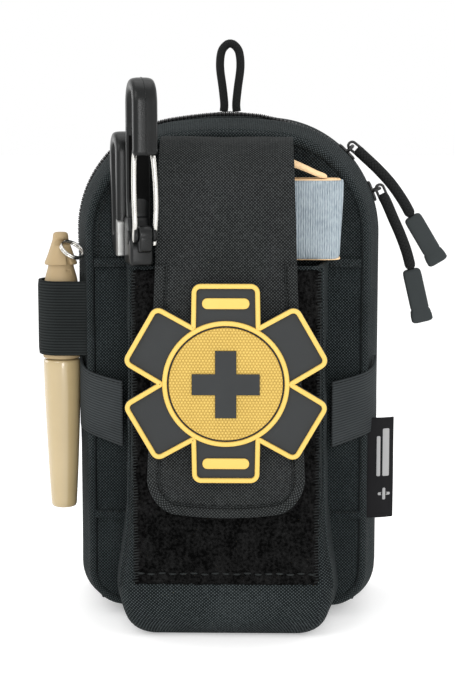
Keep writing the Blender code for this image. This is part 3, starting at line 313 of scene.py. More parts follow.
def metalFinish(name, colour, tint, roughness, metallic=1.0, brushed=(0.4, 0.4, 6.0)):
    # metal with drawing marks along its length and faint smudges
    f = Finish(name, Metallic=metallic)
    at = f.node("VectorMath", {"operation": "MULTIPLY"}, {0: f.places(), 1: brushed})
    marks, smudge = f.noise(1.0, 3.0, at), f.noise(0.2, 3.0)
    f.painted(f.mix(smudge, colour, tint), roughness + 0.18 * (marks - 0.5) + 0.12 * smudge)
    return f.bumped(marks, 0.003)


def braidFinish(name, dark, light, around, pitch):
    # braided sheath: two sets of strands cross round the cord in a herringbone; the strand crowns are painted
    # lighter and the gaps darker as painted highlight and shade
    f = Finish(name, Roughness=0.8, Specular_IOR_Level=0.1)
    along, turn = f.lengths()
    one = abs(((along / pitch + turn / around) * math.pi).sin())
    two = abs(((along / pitch - turn / around) * math.pi).sin())
    over = (((along / pitch).floor() + (turn / around).floor()) % 2.0)
    height = over * one + (1 - over) * two
    fleck = f.noise(2.0, 2.0)
    # painted highlight and shade: the colour follows the strand height, with random flecks
    f.painted(f.mix((height * 0.8 + (fleck - 0.5) * 0.6).high(0.0).low(1.0), dark, light))
    return f.bumped(height, 0.25)


def hexFinish(name, colour, deep, pitch):
    # soft vinyl with a field of small raised hexagons; the gaps between them are painted in the darker deep
    # colour as painted shade
    f = Finish(name, Roughness=0.5, Specular_IOR_Level=0.2)
    at = f.places()
    x, z = f.axis(at, 0) / pitch, f.axis(at, 2) / (pitch * math.sqrt(3))
    near = []
    for shift in (0.0, 0.5):
        dx, dz = (x + shift).fract() - 0.5, ((z + shift).fract() - 0.5) * math.sqrt(3)
        near.append(dx * dx + dz * dz)
    dome = (1 - near[0].low(near[1]) * 4.2).high(0.0).low(1.0)
    cloud = f.noise(0.1, 3.0)
    # painted shade: the gaps between the domes take the darker deep colour, with slow cloudy tone
    f.painted(f.mix((dome * 0.75 + cloud * 0.35).low(1.0), deep, colour), 0.45 + 0.2 * cloud)
    return f.bumped(dome, 0.22)


def feltFinish(name, dark, light, streak):
    # fleecy foam face: fine upright ribs broken up by fibres; the rib crowns are painted lighter and the
    # grooves darker as painted highlight and shade
    f = Finish(name, Roughness=0.95, Specular_IOR_Level=0.06)
    at = f.places()
    x = f.axis(at, 0)
    lines = abs((x * (math.pi / streak)).sin())
    stretched = f.node("VectorMath", {"operation": "MULTIPLY"}, {0: at, 1: (2.4, 2.4, 0.5)})
    fibre, cloud = f.noise(1.0, 3.0, stretched), f.noise(0.12, 2.0)
    # lines is painted highlight on the rib crowns and painted shade in the grooves; fibre and cloud add
    # uneven tone
    tone = (lines * 0.35 + (fibre - 0.3) * 1.1 + (cloud - 0.5) * 0.4).high(0.0).low(1.0)
    f.painted(f.mix(tone, dark, light))
    return f.bumped(lines * 0.5 + fibre, 0.3)


# each cloth's dark colour is painted shade between the threads; its light colour is the painted highlight on
# the thread crowns and also the random flecks
packCloth = clothFinish("packCloth", (0.0050, 0.0072, 0.0076), (0.078, 0.092, 0.095), 0.58, 0.3)
panelCloth = clothFinish("panelCloth", (0.0045, 0.0066, 0.0070), (0.064, 0.078, 0.081), 0.58, 0.3)
flapCloth = clothFinish("flapCloth", (0.0090, 0.0100, 0.0100), (0.076, 0.082, 0.082), 0.58, 0.3)
liningCloth = clothFinish("liningCloth", (0.020, 0.022, 0.023), (0.045, 0.050, 0.052), 0.35, 0.08,
                          byPlace=(0, 2))
# ribbed finishes: the light colour paints the rib crowns as painted highlight, the dark colour paints the
# grooves as painted shade
bindingTape = ribbedFinish("bindingTape", (0.006, 0.007, 0.007), (0.038, 0.040, 0.040), 0.55, 0.15, axis=0)
webbing = ribbedFinish("webbing", (0.006, 0.007, 0.007), (0.036, 0.038, 0.038), 1.1, 0.3, axis=1,
                       byPlace=(0, 2))
upWebbing = ribbedFinish("upWebbing", (0.006, 0.007, 0.007), (0.036, 0.038, 0.038), 1.1, 0.3, axis=1,
                         byPlace=(2, 0))
sideElastic = ribbedFinish("sideElastic", (0.010, 0.012, 0.013), (0.052, 0.058, 0.060), 0.95, 0.25, axis=0)
loopElastic = ribbedFinish("loopElastic", (0.003, 0.0035, 0.0035), (0.026, 0.030, 0.030), 1.05, 0.35, axis=0)
loopPile = pileFinish("loopPile", (0.0008, 0.0008, 0.0008), (0.018, 0.018, 0.018))
hookPile = pileFinish("hookPile", (0.002, 0.002, 0.002), (0.03, 0.03, 0.03))
zipTape = ribbedFinish("zipTape", (0.003, 0.004, 0.004), (0.020, 0.023, 0.024), 0.7, 0.12, axis=1)
zipTeeth = plasticFinish("zipTeeth", (0.004, 0.004, 0.0045), (0.012, 0.012, 0.013), 0.4, specular=0.35)
blackMetal = metalFinish("blackMetal", (0.010, 0.010, 0.010), (0.022, 0.022, 0.022), 0.38, 0.25)
cordSheath = braidFinish("cordSheath", (0.007, 0.0075, 0.0075), (0.021, 0.022, 0.022), 0.7, 0.9)
gripRubber = plasticFinish("gripRubber", (0.031, 0.036, 0.037), (0.043, 0.049, 0.050), 0.65, 0.05, 2.2,
                           specular=0.12)
blackPlastic = plasticFinish("blackPlastic", (0.004, 0.0045, 0.0045), (0.012, 0.013, 0.013), 0.26, 0.03,
                             2.0, specular=0.26)
dullSteel = metalFinish("dullSteel", (0.34, 0.34, 0.33), (0.24, 0.24, 0.235), 0.34)
steel = metalFinish("steel", (0.66, 0.65, 0.62), (0.48, 0.47, 0.44), 0.2)
tanGloss = plasticFinish("tanGloss", (0.44, 0.34, 0.180), (0.50, 0.39, 0.215), 0.17, 0.01, 1.0, coat=0.8)
tanMatt = plasticFinish("tanMatt", (0.36, 0.26, 0.135), (0.42, 0.32, 0.18), 0.6, 0.05, 2.6)
patchGold = plasticFinish("patchGold", (0.69, 0.47, 0.112), (0.75, 0.53, 0.155), 0.5, 0.03, 2.0,
                          specular=0.25)
# the second colour is the painted shade in the gaps between the hexagons
patchHex = hexFinish("patchHex", (0.69, 0.48, 0.125), (0.38, 0.235, 0.042), 1.15)
patchGrey = plasticFinish("patchGrey", (0.035, 0.037, 0.038), (0.042, 0.045, 0.046), 0.62, 0.04, 2.4,
                          specular=0.10)
splintFelt = feltFinish("splintFelt", (0.16, 0.20, 0.235), (0.47, 0.53, 0.56), 0.85)
splintFoam = plasticFinish("splintFoam", (0.84, 0.58, 0.33), (0.92, 0.70, 0.45), 0.75, 0.12, 1.4,
                           specular=0.2)
labelSatin = ribbedFinish("labelSatin", (0.004, 0.004, 0.0045), (0.016, 0.016, 0.017), 0.4, 0.05, axis=0,
                          byPlace=(0, 2))
# painted shade: a near-black matt finish that stands for the shade in the clip handle's hollow
grooveShade = plasticFinish("grooveShade", (0.0025, 0.0025, 0.0025), (0.006, 0.006, 0.006), 0.85, 0.05, 5.0,
                           specular=0.05)
labelInk = plasticFinish("labelInk", (0.32, 0.32, 0.32), (0.42, 0.42, 0.42), 0.6, 0.04, 4.0, specular=0.1)
thread = plasticFinish("thread", (0.016, 0.018, 0.018), (0.036, 0.040, 0.040), 0.7, 0.05, 5.0, specular=0.1)
print("finishes made:", len(bpy.data.materials))


# mesh builders

def walked(grid, axis):
    # lengths walked along one parameter, taken on the middle line of the other
    line = np.take(grid, grid.shape[1 - axis] // 2, 1 - axis)
    steps = np.linalg.norm(np.diff(line, axis=0, append=line[:1]), axis=1)
    return np.concatenate([[0.0], np.cumsum(steps)])


def surface(name, grid, wrapU=False, wrapV=False, capped=False, inward=False, flatFrom=None, walk=None):
    # grid[i, j] is the point at parameters (i, j) in millimetres; neighbours join into quads and UV
    # holds lengths. From row flatFrom on, the lengths are x and z; with walk, they are x and that row's
    # own length.
    rows, columns = grid.shape[:2]
    i, j = np.meshgrid(np.arange(rows - (not wrapU)), np.arange(columns - (not wrapV)), indexing="ij")
    i, j = i.ravel(), j.ravel()
    ni, nj = (i + 1) % rows, (j + 1) % columns
    quads = np.stack([i * columns + j, i * columns + nj, ni * columns + nj, ni * columns + j], 1)
    u, v = walked(grid, 0), walked(grid, 1)
    uv = np.stack([np.stack([v[j], u[i]], 1), np.stack([v[j + 1], u[i]], 1),
                   np.stack([v[j + 1], u[i + 1]], 1), np.stack([v[j], u[i + 1]], 1)], 1)
    corners = grid.reshape(-1, 3)[quads]
    if flatFrom is not None:
        uv = np.where((i >= flatFrom)[:, None, None], corners[..., [0, 2]], uv)
    if walk is not None:
        uv = np.stack([corners[..., 0], np.asarray(walk)[quads // columns]], -1)
    if inward:
        quads, uv = quads[:, ::-1], uv[:, ::-1]
    faces, uv = quads.tolist(), uv.reshape(-1, 2)
    if capped:  # one face closes each end of a tube
        first, last = list(range(columns)), list(range((rows - 1) * columns, rows * columns))
        faces += [last, first[::-1]] if inward is False else [last[::-1], first]
        flat = grid[[-1, 0]]
        ends = [flat[0][:, [0, 2]], flat[1][::-1][:, [0, 2]]]
        if inward:
            ends = [ends[0][::-1], ends[1][::-1]]
        uv = np.concatenate([uv, *ends])
    mesh = bpy.data.meshes.new(name)
    mesh.from_pydata((grid.reshape(-1, 3) * mm).tolist(), [], faces)
    mesh.uv_layers.new(name="lengths").data.foreach_set("uv", uv.astype(np.float32).ravel())
    mesh.shade_smooth()
    obj = bpy.data.objects.new(name, mesh)
    bpy.context.scene.collection.objects.link(obj)
    return obj


def many(name, grids, wrapU=False, wrapV=True):
    # the same small grid repeated: grids[k, i, j] are copies that stay apart
    copies, rows, columns = grids.shape[:3]
    i, j = np.meshgrid(np.arange(rows - (not wrapU)), np.arange(columns - (not wrapV)), indexing="ij")
    i, j = i.ravel(), j.ravel()
    ni, nj = (i + 1) % rows, (j + 1) % columns
    quads = np.stack([i * columns + j, i * columns + nj, ni * columns + nj, ni * columns + j], 1)
    shift = (np.arange(copies) * rows * columns)[:, None, None]
    faces = (quads[None] + shift).reshape(-1, 4).tolist()
    if not wrapU:
        first, last = np.arange(columns)[::-1], np.arange(columns) + (rows - 1) * columns
        faces += (first[None] + shift[:, 0]).tolist() + (last[None] + shift[:, 0]).tolist()
    mesh = bpy.data.meshes.new(name)
    mesh.from_pydata((grids.reshape(-1, 3) * mm).tolist(), [], faces)
    mesh.shade_smooth()
    obj = bpy.data.objects.new(name, mesh)
    bpy.context.scene.collection.objects.link(obj)
    return obj


def outwards(obj):
    # turns the faces of a closed mesh to point out
    shape = bmesh.new()
    shape.from_mesh(obj.data)
    bmesh.ops.recalc_face_normals(shape, faces=shape.faces)
    shape.to_mesh(obj.data)
    shape.free()
    return obj


def shell(name, grid, closed=False):
    # a grid that wraps round itself, with capped ends or, when closed, joined ends
    return outwards(surface(name, grid, wrapU=closed, wrapV=True, capped=not closed))


def sewnShut(obj, corners):
    # one face closes a ring of points, and every face then points out
    shape = bmesh.new()
    shape.from_mesh(obj.data)
    shape.verts.ensure_lookup_table()
    shape.faces.new([shape.verts[k] for k in corners])
    bmesh.ops.recalc_face_normals(shape, faces=shape.faces)
    probe = max(shape.faces, key=lambda face: face.calc_center_median().x)
    if probe.normal.x < 0:
        bmesh.ops.reverse_faces(shape, faces=shape.faces)
    shape.to_mesh(obj.data)
    shape.free()
    obj.data.shade_smooth()


def thickened(obj, thickness, offset=-1.0):
    # a wall of even thickness on the side that the offset picks
    wall = obj.modifiers.new("wall", "SOLIDIFY")
    wall.thickness, wall.offset = thickness * mm, offset
    wall.use_even_offset = False
    return obj


def dressed(obj, body, finish, slot, *nodes):
    # finish, body and the CAD nodes that the piece stands for; slot is not used
    obj.data.materials.clear()
    obj.data.materials.append(finish.material)
    if body:
        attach(obj, body)
    if nodes:
        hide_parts(*nodes)
    return obj


def arcPoints(cx, cz, radius, start, end, count):
    # points on a circle between two angles in degrees
    t = np.radians(np.linspace(start, end, count))
    return np.stack([cx + radius * np.cos(t), cz + radius * np.sin(t)], 1)


def straight(a, b, count):
    # points between two ends, without the ends
    t = np.linspace(0, 1, count + 2)[1:-1, None]
    return np.asarray(a) * (1 - t) + np.asarray(b) * t


def smoothRoute(points, spacing=1.0):
    # Catmull-Rom curve through the points, read about evenly
    p = np.asarray(points, float)
    p = np.vstack([2 * p[0] - p[1], p, 2 * p[-1] - p[-2]])
    a, b, c, d = p[:-3, None], p[1:-2, None], p[2:-1, None], p[3:, None]
    t = np.linspace(0, 1, 24, endpoint=False)[None, :, None]
    fine = 0.5 * (2 * b + (c - a) * t + (2 * a - 5 * b + 4 * c - d) * t**2 + (3 * b - a - 3 * c + d) * t**3)
    fine = np.vstack([fine.reshape(-1, p.shape[1]), p[-2]])
    return evenly(fine, spacing)


def evenly(line, spacing, closed=False):
    # the same line read at an even spacing
    if closed:
        line = np.vstack([line, line[:1]])
    walk = np.concatenate([[0.0], np.cumsum(np.linalg.norm(np.diff(line, axis=0), axis=1))])
    count = max(3, round(walk[-1] / spacing))
    at = np.linspace(0, walk[-1], count + 1)[: count + (not closed)]
    return np.stack([np.interp(at, walk, line[:, k]) for k in range(line.shape[1])], 1)


def lengthOf(line):
    # the sum of the distances between neighbours
    return float(np.linalg.norm(np.diff(line, axis=0), axis=1).sum())


def unit(v):
    # the same directions with length one
    return v / np.maximum(np.linalg.norm(v, axis=-1, keepdims=True), 1e-9)


def heading(line, closed=False):
    # the direction of a line at each of its points
    if closed:
        return unit(np.roll(line, -1, 0) - np.roll(line, 1, 0))
    return unit(np.gradient(line, axis=0))


def rounded(turn, power):
    # a superellipse's two coordinates: low powers come near a rectangle with round corners
    c, d = np.cos(turn), np.sin(turn)
    return np.sign(c) * np.abs(c) ** power, np.sign(d) * np.abs(d) ** power


def tubeGrid(path, radiusA, radiusB, up, sides=12, closed=False):
    # an ellipse carried along a path: radiusA across the path in its plane, radiusB along the fixed vector up
    along = heading(path, closed)
    up = np.broadcast_to(np.asarray(up, float), path.shape)
    side = unit(np.cross(along, up))
    up = unit(np.cross(side, along))
    turn = np.linspace(0, 2 * np.pi, sides, endpoint=False)
    a = np.broadcast_to(radiusA, len(path))[:, None, None]
    b = np.broadcast_to(radiusB, len(path))[:, None, None]
    return (path[:, None] + side[:, None] * a * np.cos(turn)[None, :, None]
            + up[:, None] * b * np.sin(turn)[None, :, None])


def tube(name, path, radiusA, radiusB, up, sides=12, closed=False):
    # a finished tube along a path
    return shell(name, tubeGrid(path, radiusA, radiusB, up, sides, closed), closed)


def insetOutline(outline, distance):
    # a closed outline moved inwards along its own normals (it runs anticlockwise)
    along = heading(outline, True)
    inward = np.stack([-along[:, 1], along[:, 0]], 1)
    return outline + inward * distance


def plateGrid(outline, low, high, rounding, place, steps=4):
    # a closed outline carried from low to high with rounded edges; place(a, b, along) puts it in space
    t = np.linspace(0, np.pi / 2, steps)
    insets = np.concatenate([rounding * (1 - np.sin(t)), rounding * (1 - np.cos(t))])
    heights = np.concatenate([low + rounding * (1 - np.cos(t)), high - rounding * (1 - np.sin(t))])
    rows = []
    for inset, height in zip(insets, heights):
        flat = insetOutline(outline, inset)
        rows.append(place(flat[:, 0], flat[:, 1], np.full(len(flat), height)))
    return np.stack(rows)


def roundBox(halfX, halfZ, corner, centre=(0.0, 0.0), count=6):
    # a rectangle as four corner arcs
    cx, cz = centre
    return np.vstack([arcPoints(cx + sx * (halfX - corner), cz + sz * (halfZ - corner), corner, a, a + 90,
                                count)
                      for sx, sz, a in ((1, 1, 0), (-1, 1, 90), (-1, -1, 180), (1, -1, 270))])


def frontPlace(a, b, along):
    # outline in x and z, carried along y
    return np.stack([a, along, b], 1)


def frontPlate(name, outline, back, front, rounding, steps=4):
    # a flat plate with rounded edges that faces forwards
    return shell(name, plateGrid(outline, front, back, rounding, frontPlace, steps))


def stitchRow(name, line, normal, length=2.4, pitch=3.4, radius=0.28, lift=0.05, turned=0.0, closed=False):
    # short threads laid along a line, each a little capsule that dips at both ends
    line = evenly(np.asarray(line, float), pitch, closed)
    along = heading(line, closed)
    normal = unit(np.broadcast_to(np.asarray(normal, float), line.shape))
    side = unit(np.cross(along, normal))
    if turned:
        c, s = math.cos(math.radians(turned)), math.sin(math.radians(turned))
        along, side = along * c + side * s, side * c - along * s
    t = np.linspace(-1, 1, 5)
    fat = np.array([0.45, 0.95, 1.0, 0.95, 0.45]) * radius
    rise = lift + radius * 0.6 * (1 - t**2) - radius * 0.5 * t**2
    turn = np.linspace(0, 2 * np.pi, 6, endpoint=False)
    grids = (line[:, None, None] + along[:, None, None] * (t * length / 2)[None, :, None, None]
             + normal[:, None, None] * (rise[:, None] + fat[:, None] * np.sin(turn))[None, :, :, None]
             + side[:, None, None] * (fat[:, None] * np.cos(turn))[None, :, :, None])
    return outwards(many(name, grids))


def sewn(body, name, line, normal, **sizes):
    # a finished stitch row on a body
    return dressed(stitchRow(name, line, normal, **sizes), body, thread, "webbing")


def ripple(x, z, scale, seed):
    # a smooth wandering value between about -1 and 1: a sum of slow waves in set directions
    waves = np.random.default_rng(seed).uniform(0, 2 * np.pi, (5, 2))
    total = sum(np.sin((x * np.cos(a) + z * np.sin(a)) * (1 + 0.37 * k) / scale + b)
                for k, (a, b) in enumerate(waves))
    return total / 3.0


# cords: the hanging loop and the two zip pulls

cords = {
    "hangLoop": {"diameter": 3.2, "middle": 0.3, "start": 189.1,
                 "right": [(2.5, 189.1), (2.3, 192.1), (2.9, 198), (3.9, 206), (3.4, 211.6), (1.7, 214.2)],
                 "top": (0, 214.9)},
    "pulls": {
        "upper": {"angle": 45.0, "offset": 2.8,
                  "route": [(1.6, -1.3), (4.75, -4.13), (9.6, -8.6), (14.8, -14.2), (19.4, -20.6),
                                                          (22.7, -26.4), (24.8, -29.9)]},
        "lower": {"angle": 21.0, "offset": -2.8,
                  "route": [(0.9, -2.0), (2.76, -5.66), (5.2, -11.2), (7.9, -17.2), (10.4, -23.8),
                                                           (12.2, -30.4), (13.1, -34.2)]},
    },
    "pullDiameter": 4.1, "barRadius": 45.4, "neck": 0.56,
}
pouch = {"halfWidth": 56.7, "height": 187.3, "topCorner": 42.0, "crown": 150.0, "baseCorner": 18.0,
         "rearRim": -7.0, "back": 13.0, "frontRim": -19.0, "panel": -37.0, "taper": 6.0, "zip": -13.0,
         "wall": 1.9}
cornerX = pouch["halfWidth"] - pouch["topCorner"]
crownZ = pouch["height"] - pouch["crown"]
cornerZ = crownZ + math.sqrt((pouch["crown"] - pouch["topCorner"]) ** 2 - cornerX**2)
cornerSweep = math.degrees(math.atan2(cornerZ - crownZ, cornerX))


def pullPivot(s):
    # the middle of a slider's bar, at its angle round the upper right corner
    t = math.radians(s["angle"])
    return np.array([cornerX + cords["barRadius"] * math.cos(t), pouch["zip"] + s["offset"],
                     cornerZ + cords["barRadius"] * math.sin(t)])


def makeHangLoop(s):
    # one cord up from its tab, round and back: the left half mirrors the right
    left = [(-x, z) for x, z in s["right"][::-1]]
    route = [(x + s["middle"], 0.0, z) for x, z in [*s["right"], s["top"], *left]]
    path = smoothRoute(route, 0.8)
    obj = tube("hangLoopCord", path, s["diameter"] / 2, s["diameter"] / 2, (0, 1, 0), 16)
    dressed(obj, "pouch_rear", cordSheath, "cord", "hang_loop")


def makePull(name, s):
    # cord, moulded grip and wire bail of one zip pull
    pivot, half = pullPivot(s), cords["pullDiameter"] / 2
    route = [pivot + (x, 0.0, z) for x, z in s["route"]]
    path = smoothRoute(route, 0.8)
    walk = np.linspace(0, lengthOf(path), len(path))
    left = walk[-1] - walk - gripShape["socket"]
    taper = np.clip(np.minimum((walk + 1.6) / 2.6, (left + 2.0) / 3.4), cords["neck"], 1)
    obj = tube(f"pullCord_{name}", path, half * taper, half * taper, (0, 1, 0), 20)
    dressed(obj, f"pull_{name}", cordSheath, "cord", f"pull_cord_{name}")
    grip = makeGrip(name, np.array(route[-1]), np.array(route[-2]))
    makeBail(name, pivot, np.array(route[0]))


gripShape = {"length": 20.6, "width": 6.9, "depth": 4.5, "socket": 3.7, "foot": 5.2, "footWiden": 0.55,
             "corner": 1.1}


def makeGrip(name, end, before):
    # a rounded block carried along its own length, with a wider foot past a parting step
    s = gripShape
    down = unit(end - before)
    across = np.array([down[2], 0.0, -down[0]])
    start = end - down * s["socket"]
    t = np.array([0, 0.25, 0.8, 1.6, 3, 6, 9, 12, s["length"] - s["foot"] - 0.5, s["length"] - s["foot"]
                  - 0.1,
                  s["length"] - s["foot"] + 0.25, s["length"] - s["foot"] + 0.8, s["length"] - 2.5,
                  s["length"] - 0.8, s["length"] - 0.25, s["length"]])
    shrink = np.array([1.3, 0.7, 0.2, 0.05, 0, 0, 0, 0, 0, 0.12, 0.1, -0.25, -s["footWiden"], -s["footWiden"],
                       0.0, 0.9])
    turn = np.linspace(0, 2 * np.pi, 32, endpoint=False)
    cx, cy = rounded(turn, 2 / 7.0)
    wide, deep = s["width"] / 2 - shrink, s["depth"] / 2 - 0.6 * shrink
    grid = (start + down * t[:, None, None] + across * (wide[:, None] * cx)[:, :, None]
            + np.array([0, 1.0, 0]) * (deep[:, None] * cy)[:, :, None])
    obj = shell(f"pullGrip_{name}", grid)
    return dressed(obj, f"pull_{name}", gripRubber, "grip_plastic", f"pull_grip_{name}")


def makeBail(name, pivot, first):
    # a flat wire loop: a stadium round the slider's bar at one end and the cord's eye at the other
    out = unit(first - pivot)
    side = np.array([out[2], 0.0, -out[0]])
    ring = np.vstack([arcPoints(0, 0, 1.5, 90, 270, 14), arcPoints(4.0, 0, 1.5, -90, 90, 14)])
    path = pivot + ring[:, :1] * out + ring[:, 1:] * side
    obj = tube(f"pullBail_{name}", path, 0.5, 0.8, (0, 1, 0), 10, closed=True)
    dressed(obj, f"pull_{name}", blackMetal, "black_metal", f"pull_bail_{name}")


makeHangLoop(cords["hangLoop"])
for pullName, pullShape in cords["pulls"].items():
    makePull(pullName, pullShape)
print("cords made")


# pouch shells

def pouchOutline(inset):
    # the pouch seen from the front, drawn in by an inset, anticlockwise from the base's right corner
    base, r = pouch["halfWidth"] - pouch["baseCorner"], pouch["baseCorner"] - inset
    side = pouch["halfWidth"] - inset
    low, high = (side, pouch["baseCorner"]), (side, cornerZ)
    return np.vstack([
        arcPoints(base, pouch["baseCorner"], r, -90, 0, 14), straight(low, high, 40),
        *topLine(inset), straight((-side, cornerZ), (-side, pouch["baseCorner"]), 40),
        arcPoints(-base, pouch["baseCorner"], r, 180, 270, 14), straight((-base, inset), (base, inset), 28),
    ])


def topLine(inset):
    # up round the right corner, along the crown and down the left corner
    corner, crown = pouch["topCorner"] - inset, pouch["crown"] - inset
    return [arcPoints(cornerX, cornerZ, corner, 0, cornerSweep, 34),
            arcPoints(0, crownZ, crown, cornerSweep, 180 - cornerSweep, 34)[1:-1],
            arcPoints(-cornerX, cornerZ, corner, 180 - cornerSweep, 180, 34)]


def trayGrid(rows, middle=(0.0, 94.0), bulge=None):
    # the outline carried through (inset, y, share) rows; share draws a row in towards the panel's middle
    grid = []
    for inset, y, share in rows:
        flat = np.asarray(middle) + (pouchOutline(inset) - middle) * share
        grid.append(np.stack([flat[:, 0], np.full(len(flat), float(y)), flat[:, 1]], 1))
    grid = np.stack(grid)
    if bulge is not None:
        grid = grid + bulge(grid, np.array([row[2] for row in rows])[:, None])
    return grid


def lastRow(grid):
    # where the points of a grid's last row stand in its mesh
    rows, columns = grid.shape[:2]
    return range((rows - 1) * columns, rows * columns)


rearShape = {"swell": 0.7, "corner": 4.5, "creases": 0.35}
frontShape = {"kneeInset": 3.4, "kneeY": -33.0, "swell": 0.5, "creases": 0.45, "panelDip": 1.3}


def makeRearShell(s):
    # wall, rounded edge and back panel as one tray, open to the zip
    back, rim = pouch["back"], pouch["rearRim"]
    t = np.linspace(0, 1, 12)
    wall = [(0.15 - s["swell"] * math.sin(math.pi * a), rim + (back - s["corner"] - rim) * a, 1.0) for a in t]
    turn = np.linspace(0, np.pi / 2, 7)[1:]
    corner = [(0.15 + s["corner"] * (1 - math.cos(a)), back - s["corner"] * (1 - math.sin(a)), 1.0)
              for a in turn]
    panel = [(0.15 + s["corner"], back, k) for k in np.linspace(0.97, 0.02, 16)]

    def bulge(g, share):
        wave = ripple(g[..., 0] + g[..., 1], g[..., 2], 9.0, 3) * s["creases"] * (share > 0.99)
        flat = np.zeros_like(g)
        rimless = np.clip((g[..., 1] - rim) / 5, 0, 1)
        outwardX = np.sign(g[..., 0]) * (np.abs(g[..., 0]) > 40)
        flat[..., 0] = wave * outwardX * rimless * 0.7
        return flat

    grid = trayGrid([*wall, *corner, *panel], bulge=bulge)
    obj = surface("rearShellCloth", grid, wrapV=True, flatFrom=len(wall) + len(corner) - 1)
    sewnShut(obj, lastRow(grid))
    thickened(obj, pouch["wall"])
    return dressed(obj, "pouch_rear", packCloth, "canvas", "rear_shell")


def makeFrontShell(s):
    # gusset, rounded shoulder and face as one tray, open to the zip
    rim, panel, taper = pouch["frontRim"], pouch["panel"], pouch["taper"]
    t = np.linspace(0, 1, 12)
    gusset = [(0.1 + s["kneeInset"] * a - s["swell"] * math.sin(math.pi * a),
               rim + (s["kneeY"] - rim) * a, 1.0) for a in t]
    t = np.linspace(0, 1, 6)[1:]
    knee, kneeY = s["kneeInset"], s["kneeY"]
    shoulder = [(knee + (taper - knee) * a**1.4 + 0.1, kneeY + (panel - kneeY) * a**0.7, 1.0) for a in t]
    face = [(taper + 0.3, panel, k) for k in np.linspace(0.985, 0.02, 22)]

    def bulge(g, share):
        moved = np.zeros_like(g)
        x, z = g[..., 0], g[..., 2]
        inPanel = np.clip((1 - share) / 0.08, 0, 1)
        above = np.clip((z - 137) / 6, 0, 1)  # the cloth over the slip pocket is free to dip
        moved[..., 1] = inPanel * above * (s["panelDip"] + ripple(x, z, 9.0, 11) * 0.55)
        onGusset = (share > 0.99) * np.clip((rim - g[..., 1]) / 4, 0, 1)
        onGusset = onGusset * np.clip((g[..., 1] - panel) / 5, 0, 1)
        outwardX = np.sign(x) * np.clip((np.abs(x) - 20) / 25, 0, 1)
        wave = ripple(g[..., 1] * 1.6, z, 8.0, 5) * s["creases"]
        moved[..., 0] = onGusset * outwardX * wave
        moved[..., 2] = onGusset * np.clip((z - 150) / 30, 0, 1) * wave
        return moved

    grid = trayGrid([*gusset, *shoulder, *face], bulge=bulge)
    obj = surface("frontShellCloth", grid, wrapV=True, flatFrom=len(gusset) + len(shoulder) - 1)
    sewnShut(obj, lastRow(grid))
    thickened(obj, pouch["wall"])
    return dressed(obj, "pouch_front", packCloth, "canvas", "front_shell")


zipShape = {"endHeight": 26.0, "tapeInset": 2.7, "tapeThickness": 0.8, "toothPitch": 1.45, "toothHeight": 1.7,
            "toothWidth": 0.85, "toothReach": 1.9, "proud": 1.3}


def zipLine(inset, proud=0.0):
    # up the right side, over the crown and down the left; past the sliders the line stands proud
    side = pouch["halfWidth"] - inset
    low = zipShape["endHeight"]
    line = np.vstack([[(side, low)], straight((side, low), (side, cornerZ), 60), *topLine(inset),
                      straight((-side, cornerZ), (-side, low), 60), [(-side, low)]])
    rise = np.clip((26.0 - line[:, :1]) / 14.0, 0, 1) * np.clip((line[:, 1:] - 118.0) / 24.0, 0, 1)
    crest = np.exp(-((line[:, :1] / 14.0) ** 2)) * 0.45
    return line + unit(line - (0.0, 94.0)) * rise * proud * (1 + crest)


def makeZipHalf(side):
    # tape and teeth on one side of the zip: side is 1 behind and -1 in front
    name, body = ("rear", "pouch_rear") if side > 0 else ("front", "pouch_front")
    s = zipShape
    reach = 10.7 if side > 0 else 5.6
    depth = pouch["zip"] + side * np.array([0.2, 1.0, 2.4, 4.0, reach * 0.8, reach])
    flat, proud = zipLine(s["tapeInset"]), zipLine(s["tapeInset"] - 0.5, s["proud"])
    share = np.clip(1 - np.abs(depth - pouch["zip"]) / 4.5, 0, 1) ** 0.7
    line = flat[:, None] * (1 - share)[None, :, None] + proud[:, None] * share[None, :, None]
    grid = np.stack([line[..., 0], np.broadcast_to(depth, line.shape[:2]), line[..., 1]], -1)
    tape = surface(f"zipTapeCloth_{name}", grid, inward=side > 0)
    thickened(tape, s["tapeThickness"], 0.0)
    dressed(tape, body, zipTape, "zip_tape", f"zip_tape_{name}")
    line = evenly(zipLine(1.1, s["proud"]), s["toothPitch"])
    along = heading(line)
    out = np.stack([along[:, 1], -along[:, 0]], 1)
    shift = 0.25 * side * s["toothPitch"]
    # each tooth is a rounded hook: rows along y, an eight-sided section across
    t = np.array([0.0, 0.12, 0.4, 0.8, 1.0])
    fat = np.array([0.6, 1.0, 0.95, 0.8, 0.5])
    tall = np.array([0.75, 1.0, 0.9, 0.7, 0.45])
    turn = np.linspace(0, 2 * np.pi, 8, endpoint=False) + np.pi / 8
    a = fat[:, None] * s["toothWidth"] / 2 * np.cos(turn)
    b = tall[:, None] * s["toothHeight"] / 2 * np.sin(turn) + 0.35 * tall[:, None]
    y = pouch["zip"] + side * (0.15 + t * s["toothReach"])
    x = (line[:, 0, None, None] + along[:, 0, None, None] * (a + shift) + out[:, 0, None, None] * b)
    z = (line[:, 1, None, None] + along[:, 1, None, None] * (a + shift) + out[:, 1, None, None] * b)
    grids = np.stack([x, np.broadcast_to(y[None, :, None], x.shape), z], -1)
    teeth = outwards(many(f"zipTeeth_{name}", grids))
    dressed(teeth, body, zipTeeth, "zip_teeth", f"zip_chain_{name}")


